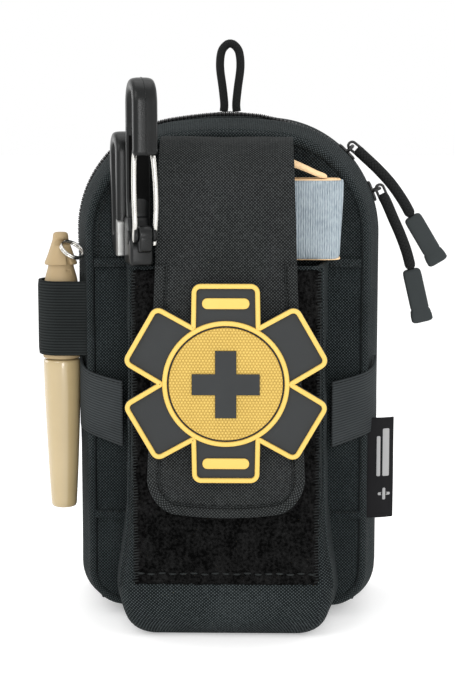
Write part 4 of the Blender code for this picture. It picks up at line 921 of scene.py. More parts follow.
def makeBaseGusset():
    # a rippled strip of cloth at the base, where the pouch opens
    x = np.linspace(-41.4, 41.4, 40)
    y = np.linspace(-18.6, -7.4, 14)
    z = 0.45 + 0.25 * ripple(x[:, None], y[None, :], 6.0, 2)
    grid = np.stack(np.broadcast_arrays(x[:, None], y[None, :], z), -1)
    obj = thickened(surface("baseGussetCloth", grid), 0.4, 0.0)
    dressed(obj, None, packCloth, "canvas", "base_gusset")
    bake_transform(obj)


makeRearShell(rearShape)
makeFrontShell(frontShape)
makeZipHalf(1)
makeZipHalf(-1)
makeBaseGusset()
print("shells and zip made")


# layers on the front panel

layersShape = {"pipingInset": 6.0, "pipingY": -37.9, "pipingWidth": 1.5, "pipingDepth": 1.15,
               "pocketTop": 133.5,
               "pocketY": -38.5, "pocketInset": 7.6, "foldHeight": 39.0, "stitchInset": 9.0,
               "stitchY": -37.15}


def makePiping(s):
    # a slightly uneven roll round the front panel's edge
    flat = pouchOutline(s["pipingInset"])
    path = np.stack([flat[:, 0], np.full(len(flat), s["pipingY"]), flat[:, 1]], 1)
    path[:, 1] += 0.12 * ripple(path[:, 0], path[:, 2], 5.0, 8)
    obj = tube("frontPipingRoll", path, s["pipingWidth"], s["pipingDepth"], (0, 1, 0), 14, closed=True)
    dressed(obj, "pouch_front", packCloth, "canvas", "front_piping")


def pocketHalfWidth(z):
    # straight sides that draw in round a corner at the foot
    side = pouch["halfWidth"] - layersShape["pocketInset"]
    r = pouch["baseCorner"] - layersShape["pocketInset"] + 3.0
    fall = np.clip(r - (z - 0.3), 0, r)
    return side - r + np.sqrt(np.maximum(r**2 - fall**2, 0.0))


def makeSlipPocket(s):
    # a flat pocket with a fold line low down and a turned hem over its mouth
    z = np.concatenate([np.linspace(7.0, 12, 8), np.linspace(14, s["pocketTop"], 70)])
    t = np.linspace(-1, 1, 64)
    half = pocketHalfWidth(z)
    x = half[:, None] * t[None, :]
    zz = np.broadcast_to(z[:, None], x.shape)
    full = np.cos(t * np.pi / 2)[None, :] ** 0.6
    swell = 0.9 * full * np.sin(np.clip((zz - 45) / 85, 0, 1) * np.pi)
    swell = swell + 1.1 * full * np.sin(np.clip(zz / 39, 0, 1) * np.pi)
    fold = 0.5 * np.exp(-((zz - s["foldHeight"]) / 1.1) ** 2)
    y = s["pocketY"] + 0.5 - swell * 0.6 + fold + 0.22 * ripple(x, zz, 7.0, 21)
    grid = np.stack([x, y, zz], -1)
    obj = thickened(surface("slipPocketCloth", grid), 0.8, -1.0)
    dressed(obj, "pouch_front", panelCloth, "canvas", "slip_pocket")
    side = pouch["halfWidth"] - s["pocketInset"]
    x = np.linspace(-side, side, 90)
    depth = -38.6 - 0.35 * np.sin(np.abs(x) * 0.11) ** 2
    path = np.stack([x, depth, s["pocketTop"] + 1.6 + 0.5 * np.cos(x * 0.06)], 1)
    hem = tube("slipPocketHem", path, 1.65, 0.75, (0, 1, 0), 14)
    dressed(hem, "pouch_front", packCloth, "canvas", "slip_hem")
    x = np.linspace(-side - 0.6, side + 0.6, 90)
    path = np.stack([x, np.full(90, -39.0), s["foldHeight"] + 0.5 * np.cos(x * 0.09) + 0.02 * np.abs(x)], 1)
    fold = tube("baseFoldRoll", path, 1.5, 0.75, (0, 1, 0), 12)
    dressed(fold, "pouch_front", panelCloth, "canvas")
    for name, z, lift in (("hemStitches", s["pocketTop"] + 0.4, 0.2),
                          ("foldStitches", s["foldHeight"] + 1.9, 0.15)):
        x = np.linspace(-side + 1.5, side - 1.5, 60)
        y = -39.25 if name == "hemStitches" else -39.1
        line = np.stack([x, np.full(60, y), np.full(60, z)], 1)
        sewn("pouch_front", name, line, (0, -1, 0), length=2.2, pitch=3.2, radius=0.26, lift=lift)


bandShape = {"bottom": 70.6, "topOuter": 97.6, "topInner": 91.6}


def makeElasticBand(name, way, s):
    # ribbed elastic from the gusset to the holster: its upper edge falls and its middle bows out
    wall, holder = 55.2, 38.4
    path = smoothRoute([(wall, -30.5), (54.2, -35.0), (51.0, -39.3), (45.5, -42.4), (holder, -45.9)], 0.7)
    share = np.linspace(0, 1, len(path))
    top = s["topOuter"] + 1.6 * (1 - share) ** 3 + (s["topInner"] - s["topOuter"]) * share**0.55
    low = s["bottom"] + 2.2 * (1 - share) ** 1.5 - 3.4 * share**1.5
    t = np.linspace(0, 1, 30)
    z = low[:, None] + (top - low)[:, None] * t[None, :]
    bow = 0.5 * np.sin(np.pi * t)[None, :] * np.sin(np.pi * share)[:, None]
    x = way * (path[:, 0, None] + bow * 0.6)
    y = path[:, 1, None] - bow + 0 * z
    grid = np.stack(np.broadcast_arrays(x, y, z), -1)
    obj = thickened(surface(f"elasticBand_{name}", grid, inward=way < 0), 1.0, 0.0)
    dressed(obj, "pouch_front", sideElastic, "elastic", f"elastic_band_{name}")
    for edge, line in (("top", top - 0.9), ("low", low + 0.9)):
        seam = np.stack([way * (path[:, 0] + 0.2), path[:, 1] - 0.4, line], 1)
        sewn("pouch_front", f"bandEdge_{name}_{edge}", seam, (way * 0.5, -0.86, 0), length=1.5, pitch=1.9,
             radius=0.2)


def makeLabel():
    # a folded blank tab sewn into the gusset's seam
    path = smoothRoute([(51.6, -37.2), (54.4, -37.4), (58.2, -36.8), (62.0, -35.2)], 0.4)
    back = path[::-1] + np.array([0.15, 0.75])
    loop = np.vstack([path, back])
    z = np.linspace(38.4, 76.6, 48)
    wave = 0.35 * np.sin(z * 0.21)[None, :] * np.clip((loop[:, 0, None] - 52) / 8, 0, 1)
    grid = np.stack(np.broadcast_arrays(loop[:, 0, None], loop[:, 1, None] + wave, z[None, :]), -1)
    grid = np.swapaxes(grid, 0, 1)
    obj = shell("sideLabelTab", grid)
    dressed(obj, "pouch_front", labelSatin, "label", "side_label")

    def onFace(a, b, height):
        y = np.interp(a, path[:, 0], path[:, 1]) + 0.35 * np.sin(b * 0.21) * np.clip((a - 52) / 8, 0, 1)
        return np.stack([a, y - height, b], 1)

    for name, halfA, halfB, spot in (("wide", 1.25, 9.0, (59.2, 63.4)), ("thin", 0.7, 7.6, (56.4, 62.0)),
                                     ("upright", 0.55, 2.3, (58.6, 47.6)),
                                     ("level", 2.3, 0.55, (58.6, 47.6))):
        grid = plateGrid(roundBox(halfA, halfB, 0.45, spot, 5), 0.02, 0.14, 0.04, onFace, 3)
        mark = shell(f"labelMark_{name}", grid)
        dressed(mark, "pouch_front", labelInk, "label")


def makePanelStitches(s):
    # a row beside the piping, over the stretch of the outline above the slip pocket
    flat = np.roll(pouchOutline(s["stitchInset"]), -14, axis=0)
    flat = flat[round(0.27 * len(flat)) : round(0.66 * len(flat))]
    line = np.stack([flat[:, 0], np.full(len(flat), s["stitchY"]), flat[:, 1]], 1)
    sewn("pouch_front", "panelStitches", line, (0, -1, 0), length=2.2, pitch=3.3, radius=0.25)


def makeMarkerLoop():
    # elastic sewn at the seam, round the marker and back: grid of the wrap by the height
    marker = (-62.6, -28.0)
    reach = 7.1 + 0.4 + 0.6
    wrap = arcPoints(*marker, reach, -90, -270, 40)
    path = smoothRoute([(-50.6, marker[1] - reach + 0.3), (-55, marker[1] - reach - 0.1), *wrap[::4],
                        (-60, marker[1] + reach), (-58.0, marker[1] + reach + 0.1)], 0.6)
    z = np.linspace(99.6, 127.3, 40)
    edge = np.clip(np.minimum(z - 99.6, 127.3 - z) / 2.0, 0, 1)
    grid = np.stack(np.broadcast_arrays(path[:, 0, None], path[:, 1, None], z[None, :] + 0 * path[:, :1]),
                    -1).copy()
    out = unit(path - np.asarray(marker))
    pinch = 0.25 * (1 - edge)[None, :] * (path[:, 0] < -60)[:, None]
    grid[..., 0] -= out[:, 0, None] * pinch
    grid[..., 1] -= out[:, 1, None] * pinch
    obj = thickened(surface("markerLoopElastic", grid), 1.2, 0.0)
    dressed(obj, "pouch_front", loopElastic, "elastic", "marker_loop")


makePiping(layersShape)
makeSlipPocket(layersShape)
for bandName, bandWay in (("left", -1), ("right", 1)):
    makeElasticBand(bandName, bandWay, bandShape)
makeLabel()
makeMarkerLoop()
makePanelStitches(layersShape)
print("front layers made")


# holster

holster = {
    "heights": (0.0, 17.0, 50.0, 136.0), "halfWidths": (33.5, 38.8, 35.5, 34.2), "flare": 2.4, "back": -38.8,
    "front": -63.8, "corner": 4.0, "foot": 7.0, "wall": 1.5, "mouth": 136.0,
    "pileHalfWidth": 33.0, "pileLow": 20.5, "pileHigh": 134.5, "pileY": -64.3,
}


def holsterHalfWidth(z):
    # smooth through the sizes given at four heights
    h, w = holster["heights"], holster["halfWidths"]
    line = smoothRoute(np.stack([h, w], 1), 1.0)
    return np.interp(z, line[:, 0], line[:, 1])


def makeHolster(s):
    # a round-cornered box section carried up from a rounded foot
    turn = np.linspace(0, np.pi / 2, 9)
    foot = s["foot"]
    rise = np.concatenate([foot * (1 - np.cos(turn)), np.linspace(foot, s["mouth"], 90)[1:]])
    draw = np.concatenate([foot * (1 - np.sin(turn)), np.zeros(89)])
    half = holsterHalfWidth(rise) - draw * 0.75
    front = s["front"] + draw * 0.9
    back = s["back"] - draw * 0.3
    corner = s["corner"] + draw * 0.2
    q = np.linspace(0, np.pi / 2, 7)

    def bend(cx, cy, radius, start):
        a = q[None, :] + start
        return np.stack([cx[:, None] + radius[:, None] * np.cos(a), cy[:, None] + radius[:, None]
                         * np.sin(a)], -1)

    def run(a, b, count):
        t = np.linspace(0, 1, count + 2)[1:-1][None, :, None]
        return a[:, None] * (1 - t) + b[:, None] * t

    wide = half + s["flare"]
    c1 = bend(half - corner, front + corner, corner, -np.pi / 2)
    c2 = bend(wide - corner, back - corner, corner, 0.0)
    c3 = bend(-wide + corner, back - corner, corner, np.pi / 2)
    c4 = bend(-half + corner, front + corner, corner, np.pi)
    ring = np.concatenate([c1, run(c1[:, -1], c2[:, 0], 14), c2, run(c2[:, -1], c3[:, 0], 30), c3,
                           run(c3[:, -1], c4[:, 0], 14), c4, run(c4[:, -1], c1[:, 0], 44)], axis=1)
    x, y = ring[..., 0], ring[..., 1]
    z = np.broadcast_to(rise[:, None], x.shape)
    isFront = np.clip((s["front"] + 3 - y) / 3, 0, 1)
    isSide = np.clip((np.abs(x) - 30) / 4, 0, 1) * (1 - isFront)
    free = np.clip((22 - z) / 8, 0, 1) * np.clip(z / 5, 0, 1)
    y = y - isFront * free * (0.9 + 0.5 * ripple(x, z, 8.0, 31)) * 0.8
    hollow = 0.6 * np.sin(np.clip((z - 40) / 96, 0, 1) * np.pi)
    x = x + np.sign(x) * isSide * (0.5 * ripple(y, z, 9.0, 32) - hollow)
    obj = surface("holsterCloth", np.stack([x, y, z], -1), wrapV=True)
    sewnShut(obj, range(x.shape[1])[::-1])
    thickened(obj, s["wall"])
    dressed(obj, "pouch_front", packCloth, "canvas", "holder_shell")


def makePilePanel(s):
    # the loop field: a matted surface with rounded, slightly frayed edges
    x = np.linspace(-s["pileHalfWidth"], s["pileHalfWidth"], 150)
    z = np.linspace(s["pileLow"], s["pileHigh"], 250)
    xx, zz = np.meshgrid(x, z, indexing="ij")
    edge = np.minimum.reduce([xx - x[0], x[-1] - xx, zz - z[0], z[-1] - zz])
    fuzz = np.random.default_rng(5).normal(0, 0.10, xx.shape)
    matted = 0.14 * ripple(xx, zz, 3.1, 41) + 0.08 * ripple(xx, zz, 1.2, 42)
    height = 0.85 * np.clip(edge / 0.8, 0, 1) ** 0.5 + (fuzz + matted) * np.clip(edge / 1.0, 0, 1)
    press = 0.5 * np.exp(-(((zz - 24.3) / 0.9) ** 2)) + 0.35 * np.exp(-(((np.abs(xx) - 30.6) / 0.9) ** 2))
    y = s["pileY"] + 0.25 - height + press
    ragged = 0.25 * np.random.default_rng(6).normal(0, 1, xx.shape) * (edge < 0.3)
    obj = surface("loopFieldPile", np.stack([xx + ragged, y, zz + ragged], -1), inward=True)
    dressed(thickened(obj, 0.35, 1.0), "pouch_front", loopPile, "loop_pile", "holder_loop_panel")
    # overlocked sides: upright rows of short level stitches, and one row along the foot
    for name, way in (("left", -1), ("right", 1)):
        z = np.linspace(s["pileLow"] + 1, s["pileHigh"] - 1, 200)
        line = np.stack([np.full(200, way * (s["pileHalfWidth"] - 0.4)), np.full(200, s["pileY"] - 0.55),
                         z], 1)
        sewn("pouch_front", f"overlock_{name}", line, (0, -1, 0), length=2.5, pitch=1.05, radius=0.21,
             lift=0.12, turned=82)
    x = np.linspace(-s["pileHalfWidth"] + 2, s["pileHalfWidth"] - 2, 60)
    line = np.stack([x, np.full(60, s["pileY"] - 0.5), np.full(60, 24.3) + 0.25 * np.sin(x)], 1)
    sewn("pouch_front", "footStitches", line, (0, -1, 0), length=2.9, pitch=4.0, radius=0.42)


def makeHolsterSeams(s):
    # bound seams down both front corners
    for name, way in (("left", -1), ("right", 1)):
        z = np.linspace(19.0, s["mouth"] - 0.5, 120)
        x = way * (holsterHalfWidth(z) - 0.2)
        y = np.full(120, s["front"] + 0.35)
        path = np.stack([x, y, z], 1)
        roll = tube(f"holsterSeam_{name}", path, 0.5, 0.5, (0, 1, 0), 10)
        dressed(roll, "pouch_front", packCloth, "canvas")


makeHolster(holster)
makePilePanel(holster)
makeHolsterSeams(holster)
print("holster made")


# flap over the holster

flapShape = {
    "profile": [(-39.1, 179.3), (-44.3, 180.3), (-49.4, 179.9), (-53.6, 178.9), (-56.9, 176.9),
                (-60.2, 174.2),
                (-62.6, 171.2), (-64.9, 166.6), (-66.1, 161.8), (-66.9, 156.0), (-67.05, 150.6),
                (-67.05, 140.0),
                (-67.05, 120.0), (-67.05, 100.0), (-67.05, 80.0), (-67.05, 60.0), (-67.05, 45.7)],
    "topHalf": 23.6, "kneeHalf": 24.9, "lowHalf": 28.3, "kneeZ": 138.0, "bottom": 45.7, "cornerWide": 9.5,
    "cornerTall": 14.5, "sag": 2.2, "hemInset": 4.2, "wall": 1.2,
}


def flapHalfWidth(z):
    # straight tapers above and below the knee, then an elliptical corner
    s = flapShape
    above = s["kneeHalf"] + (s["topHalf"] - s["kneeHalf"]) * np.clip((z - s["kneeZ"]) / 42.6, 0, 1)
    below = s["kneeHalf"] + (s["lowHalf"] - s["kneeHalf"]) * np.clip((s["kneeZ"] - z) / 80.3, 0, 1)
    fall = np.clip((s["bottom"] + s["cornerTall"] - z) / s["cornerTall"], 0, 1)
    return np.where(z > s["kneeZ"], above, below) - s["cornerWide"] * (1 - np.sqrt(1 - fall**2))


def flapSag(x, z):
    # the lower edge bows: its ends stand a little higher than its middle
    return flapShape["sag"] * (x / 24.0) ** 2 * np.clip((62 - z) / 14, 0, 1)


def flapEdge(inset, top):
    # down the right side, round the corner and along the bottom to the middle, then mirrored
    s = flapShape
    z = np.linspace(top, s["bottom"] + s["cornerTall"], 60)
    side = np.stack([flapHalfWidth(z) - inset, z], 1)
    t = np.radians(np.linspace(0, -90, 24))[1:]
    wide, tall = s["cornerWide"] - inset * 0.6, s["cornerTall"] - inset
    across, up = s["lowHalf"] - inset - wide, s["bottom"] + inset + tall
    corner = np.stack([across + wide * np.cos(t), up + tall * np.sin(t)], 1)
    half = np.vstack([side, corner, straight(corner[-1], (0, corner[-1][1]), 20)])
    line = np.vstack([half, half[::-1] * (-1, 1)])
    line[:, 1] += flapSag(line[:, 0], line[:, 1])
    return line


def makeFlap(s):
    # a strip carried over the crest along its profile, with hems, folds and stitches
    profile = smoothRoute(s["profile"], 0.8)
    low = profile[:, 1] < 64
    fine = evenly(profile[low], 0.45)
    profile = np.vstack([profile[~low], fine])
    walk = np.concatenate([[0], np.cumsum(np.linalg.norm(np.diff(profile, axis=0), axis=1))])
    t = np.linspace(-1, 1, 110)
    t = np.sign(t) * np.abs(t) ** 0.92
    half = flapHalfWidth(profile[:, 1])
    x = half[:, None] * t[None, :]
    y = np.broadcast_to(profile[:, :1], x.shape).copy()
    z = np.broadcast_to(profile[:, 1:], x.shape).copy()
    hanging = np.clip((160 - z) / 20, 0, 1)
    over = np.clip(1 - hanging, 0, 1)
    # soft folds over the crest, a slight puff between the hems and a groove along them
    fromEdge = np.minimum(half[:, None] - np.abs(x), z - s["bottom"])
    groove = np.exp(-(((fromEdge - s["hemInset"]) / 0.8) ** 2)) * (z < s["kneeZ"])
    seam = np.exp(-(((z - s["kneeZ"]) / 0.9) ** 2))
    puff = np.clip((fromEdge - 5) / 10, 0, 1)
    wave = 0.30 * ripple(x, z, 11.0, 51) + 0.12 * ripple(x, z, 4.0, 52)
    y += -0.35 * puff * hanging - wave * (0.25 + 0.5 * over) + 0.4 * groove + 0.25 * seam
    z += 0.5 * over * ripple(x, y, 9.0, 53) * np.clip((walk[:, None] - 2) / 8, 0, 1)
    z += flapSag(x, z)
    obj = surface("flapCloth", np.stack([x, y, z], -1), walk=walk, inward=True)
    thickened(obj, s["wall"], 0.0)
    dressed(obj, None, flapCloth, "canvas", "flap_top", "flap_panel")
    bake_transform(obj)
    print("flap length", round(float(walk[-1]), 1))
    # the turned hem is a flat roll along the edge
    edge = evenly(flapEdge(1.75, s["kneeZ"] - 1.0), 0.9)
    path = np.stack([edge[:, 0], np.full(len(edge), -67.85) + 0.06 * np.sin(edge[:, 1] * 1.3), edge[:, 1]], 1)
    roll = tube("flapHem", path, 1.75, 0.6, (0, 1, 0), 14)
    dressed(roll, "flap_front", flapCloth, "webbing", "flap_binding")
    line = flapEdge(s["hemInset"], s["kneeZ"] - 2)
    line = np.stack([line[:, 0], np.full(len(line), -67.75), line[:, 1]], 1)
    sewn("flap_front", "flapStitches", line, (0, -1, 0), length=2.6, pitch=4.4, radius=0.32, lift=0.0)
    x = np.linspace(-s["kneeHalf"] + 1, s["kneeHalf"] - 1, 40)
    line = np.stack([x, np.full(40, -67.75), np.full(40, s["kneeZ"] - 1.2)], 1)
    sewn("flap_front", "kneeStitches", line, (0, -1, 0), length=1.8, pitch=2.8, radius=0.24, lift=0.0)


makeFlap(flapShape)
print("flap made")


# six-armed patch

patch = {"centre": 95.1, "reach": 35.6, "half": 12.0, "corner": 3.0, "rim": 0.85, "back": -69.2,
         "base": -71.1,
         "top": -72.3, "disc": 20.1, "ring": 21.6, "crossReach": 12.0, "crossHalf": 3.75,
         "bar": (8.3, 1.9), "barAt": 28.6}


def starLine(reach, half, corner, soft=0.8):
    # six equal arms, one straight up; outer corners are round and the notches are slightly soft
    notch = half / math.sin(math.radians(30))
    points = []
    for k in range(6):
        turn = math.radians(90 + 60 * k)
        out = np.array([math.cos(turn), math.sin(turn)])
        side = np.array([-out[1], out[0]])
        for way in (-1, 1):
            t = np.radians(np.linspace(0, 90, 9))
            if way > 0:
                t = t[::-1]
            a = reach - corner + corner * np.sin(t)
            b = way * (half - corner + corner * np.cos(t))
            points.append(out * a[:, None] + side * b[:, None])
            if way < 0:
                continue
            between = turn + math.radians(30)
            middle = np.array([math.cos(between), math.sin(between)]) * (notch + soft * 0.6)
            points.append(middle[None, :])
    line = np.vstack(points)
    return evenly(line, 0.7, closed=True) + (0, patch["centre"])


def raisedBand(name, line, halfWidth, low, top, finish, slot, *nodes):
    # a bar with rounded shoulders carried along a closed line
    along = heading(line, True)
    side = np.stack([-along[:, 1], along[:, 0]], 1)
    h = top - low  # negative: towards the front
    section = np.array([(-1, 0), (-1, 0.62), (-0.86, 0.88), (-0.55, 1.0), (0.55, 1.0), (0.86, 0.88),
                        (1, 0.62), (1, 0)])
    x = line[:, None, 0] + side[:, None, 0] * section[None, :, 0] * halfWidth
    z = line[:, None, 1] + side[:, None, 1] * section[None, :, 0] * halfWidth
    y = np.broadcast_to(low + h * section[None, :, 1], x.shape)
    obj = shell(name, np.stack([x, y, z], -1), closed=True)
    return dressed(obj, "patch", finish, slot, *nodes)


def makePatch(s):
    # a grey star, raised gold borders, a round field of hexagons, a cross and two bars
    star = starLine(s["reach"], s["half"], s["corner"])
    base = frontPlate("patchBase", star, s["back"], s["base"], 0.35)
    dressed(base, "patch", patchGrey, "patch_grey", "patch_base")
    border = starLine(s["reach"] - s["rim"] - 0.05, s["half"] - s["rim"] - 0.05, s["corner"] - 0.7)
    raisedBand("patchBorder", border, s["rim"], s["base"] + 0.3, s["top"], patchGold, "patch_yellow",
               "patch_rim")
    ring = arcPoints(0, s["centre"], s["ring"], 0, 360, 121)[:-1]
    raisedBand("patchRing", ring, 0.85, s["base"] + 0.3, s["top"], patchGold, "patch_yellow")
    disc = arcPoints(0, s["centre"], s["disc"], 0, 360, 121)[:-1]
    dressed(frontPlate("patchDisc", disc, s["base"] + 0.3, s["top"] + 0.15, 0.4), "patch", patchHex,
            "patch_yellow",
            "patch_disc")
    a, r = s["crossHalf"], s["crossReach"]
    quarter = np.array([(a, -r), (a, -a), (r, -a)])
    cross = np.vstack([quarter @ np.array([(math.cos(t), math.sin(t)), (-math.sin(t), math.cos(t))])
                       for t in np.radians([0, 90, 180, 270])]) + (0, s["centre"])
    cross = evenly(cross, 0.75, closed=True)
    dressed(frontPlate("patchCross", cross, s["top"] + 0.2, s["top"] - 0.55, 0.3), "patch", patchGrey,
            "patch_grey",
            "patch_emblem")
    for name, way in (("top", 1), ("low", -1)):
        bar = roundBox(*s["bar"], s["bar"][1] * 0.95, (0, s["centre"] + way * s["barAt"]))
        dressed(frontPlate(f"patchBar_{name}", bar, s["base"] + 0.2, s["top"] + 0.35, 0.3), "patch",
                patchGold,
                "patch_yellow")


makePatch(patch)
print("patch made")


# marker and its key ring

marker = {
    "axis": (-62.6, -28.0), "eye": (-61.3, -30.25, 141.4), "yaw": -60.0, "ringRadius": 4.5, "ringWire": 0.42,
    "ringAway": (0.74, -0.30, -0.60), "ringSide": (0.30, 1.0, 0.32),
    "cap": [(0.02, 145.0), (1.9, 144.95), (2.55, 144.6), (2.85, 143.8), (3.0, 142.2), (3.9, 139.4),
            (5.0, 136.2),
            (5.95, 133.9), (6.1, 133.3), (5.9, 133.0), (5.0, 133.2), (4.75, 132.6), (4.95, 131.4),
            (5.7, 128.9),
            (6.15, 126.9), (6.35, 124.0), (6.7, 101.2), (6.75, 100.2), (7.05, 99.9), (7.1, 99.3), (7.1, 98.2),
            (6.9, 97.9), (5.5, 97.9), (5.25, 98.6), (5.2, 112.0), (0.6, 122.0), (0.02, 122.2)],
    "barrel": [(0.02, 40.2), (3.5, 40.25), (4.4, 40.6), (4.8, 41.4), (4.95, 43.4), (5.6, 55.0), (6.35, 72.0),
               (6.8, 84.0), (7.0, 92.5), (7.0, 96.2), (6.85, 97.0), (6.5, 97.25), (4.95, 97.3), (4.85, 98.0),
               (4.6, 110.0), (1.6, 111.8), (1.5, 114.0), (0.9, 117.0), (0.02, 117.3)],
}


def lathe(name, profile, centre, sides=72):
    # radius and height pairs turned about an upright axis; flat places stay sharp where points lie close
    profile = np.asarray(profile, float)
    fine = [profile[:1]]
    for a, b in zip(profile[:-1], profile[1:]):
        count = max(1, int(np.hypot(*(b - a)) / 1.5))
        fine.append(np.linspace(a, b, count + 1)[1:])
    fine = np.vstack(fine)
    turn = np.linspace(0, 2 * np.pi, sides, endpoint=False)
    x = centre[0] + fine[:, :1] * np.cos(turn)
    y = centre[1] + fine[:, :1] * np.sin(turn)
    grid = np.stack([x, y, np.broadcast_to(fine[:, 1:], x.shape)], -1)
    return shell(name, grid)


def cutBy(obj, cutter):
    # takes one closed mesh out of another and drops the cutter
    cut = obj.modifiers.new("cut", "BOOLEAN")
    cut.object, cut.operation, cut.solver = cutter, "DIFFERENCE", "EXACT"
    bpy.context.view_layer.update()
    shaped = bpy.data.meshes.new_from_object(obj.evaluated_get(bpy.context.evaluated_depsgraph_get()))
    obj.modifiers.clear()
    obj.data = shaped
    bpy.data.objects.remove(cutter)
    return obj


def makeMarker(s):
    # turned barrel and cap; the cap's eye and notch are cut out, and a split ring hangs from it
    barrel = lathe("markerBarrel", s["barrel"], s["axis"])
    dressed(barrel, "marker_barrel", tanGloss, "tan_plastic", "marker_barrel")
    cap = lathe("markerCap", s["cap"], s["axis"])
    yaw = math.radians(s["yaw"])
    side = np.array([-math.sin(yaw), math.cos(yaw), 0])
    eye = np.array(s["eye"])
    path = eye + side * np.linspace(-7, 7, 3)[:, None]
    cutBy(cap, tube("eyeCut", path, 1.25, 1.25, (0, 0, 1), 24))
    # an arched notch in the skirt, below the eye and to its right
    at = np.radians(-52.0)
    spot = np.array([*s["axis"], 0]) + np.array([math.cos(at), math.sin(at), 0]) * 3.6
    flat = np.array([(-1.05, 131.0), (-1.0, 134.2), (-0.7, 136.2), (0.0, 137.4), (0.7, 136.2),
                     (1.0, 134.2), (1.05, 131.0)])
    width = np.array([-math.sin(at), math.cos(at), 0])
    depth = np.array([math.cos(at), math.sin(at), 0])
    rows = np.stack([spot + depth * d + flat[:, :1] * width + flat[:, 1:] * (0, 0, 1) for d in (1.3, 4.5)])
    cutBy(cap, shell("notchCut", rows))
    dressed(cap, "marker_cap", tanMatt, "tan_plastic", "marker_cap")
    # split ring: two turns of one wire that step past each other
    t = np.linspace(0, 4 * np.pi, 120, endpoint=False)
    away = unit(np.array(s["ringAway"]))
    side = np.array(s["ringSide"]) - away * np.dot(s["ringSide"], away)
    side = side / np.linalg.norm(side)
    normal = np.cross(away, side)
    centre = eye + away * s["ringRadius"]
    shift = np.clip((np.mod(t, 4 * np.pi) - 2 * np.pi) / 0.9, -1, 1) * s["ringWire"] * 0.95
    ring = centre - (away * np.cos(t)[:, None] + side * np.sin(t)[:, None]) * s["ringRadius"]
    ring = ring + normal * shift[:, None]
    obj = tube("keyRingCoil", ring, s["ringWire"], s["ringWire"], normal, closed=True)
    dressed(obj, "key_ring", steel, "steel", "key_ring")


makeMarker(marker)
print("marker made")


# shears

shears = {"place": (-34.6, -56.2), "yaw": 14.0, "half": 4.35, "start": 1.4, "depth": 18.5, "band": 4.6,
          "top": 202.0,
          "nose": 175.0, "low": 138.6, "pivot": 148.0, "thumbTop": 183.0, "thumbDepth": 16.8, "wire": 0.92,
          "spacing": 3.4, "clipShift": 2.6}  # the clip handle lies beside the thumb loop


def shearsPlace(u, across, z):
    # the shears' own plane: u forward, across to the right of it
    yaw = math.radians(shears["yaw"])
    x = shears["place"][0] + u * math.sin(yaw) + across * math.cos(yaw)
    y = shears["place"][1] - u * math.cos(yaw) + across * math.sin(yaw)
    return np.stack(np.broadcast_arrays(x, y, z), -1)


def bandGrid(path, halfBand, halfAcross, closed=False, power=0.42, sides=28, shift=0.0):
    # a superellipse carried along a path in the (u, z) plane; halfBand may change along it
    along = heading(path, closed)
    side = np.stack([along[:, 1], -along[:, 0]], 1)
    turn = np.linspace(0, 2 * np.pi, sides, endpoint=False)
    cx, cy = rounded(turn, power)
    a = cx[None, :] * np.broadcast_to(halfBand, len(path))[:, None]
    b = cy[None, :] * np.broadcast_to(halfAcross, len(path))[:, None]
    return shearsPlace(path[:, :1] + side[:, :1] * a, b + shift, path[:, 1:] + side[:, 1:] * a)


def shearsBlock(name, outline, left, right, rounding, finish=None, slot="black_plastic", body="shears",
                nodes=()):
    # an outline in (u, z) carried across with rounded edges
    outline = np.asarray(outline, float)
    grid = plateGrid(outline, left, right, rounding, lambda u, z, across: shearsPlace(u, across, z), 5)
    obj = shell(name, grid)
    return dressed(obj, body, finish or blackPlastic, slot, *nodes)


def roundedLine(points, radius, spacing=0.6):
    # a closed polygon with its corners eased, read evenly and anticlockwise
    p = np.asarray(points, float)
    area = np.sum(p[:, 0] * np.roll(p[:, 1], -1) - np.roll(p[:, 0], -1) * p[:, 1])
    if area < 0:
        p = p[::-1]
    before, after = unit(np.roll(p, 1, 0) - p), unit(np.roll(p, -1, 0) - p)
    t = np.linspace(0, 1, 6)[None, :, None]
    a, b = (p + before * radius)[:, None], (p + after * radius)[:, None]
    curve = a * (1 - t) ** 2 + 2 * p[:, None] * t * (1 - t) + b * t**2
    return evenly(curve.reshape(-1, 2), spacing, closed=True)


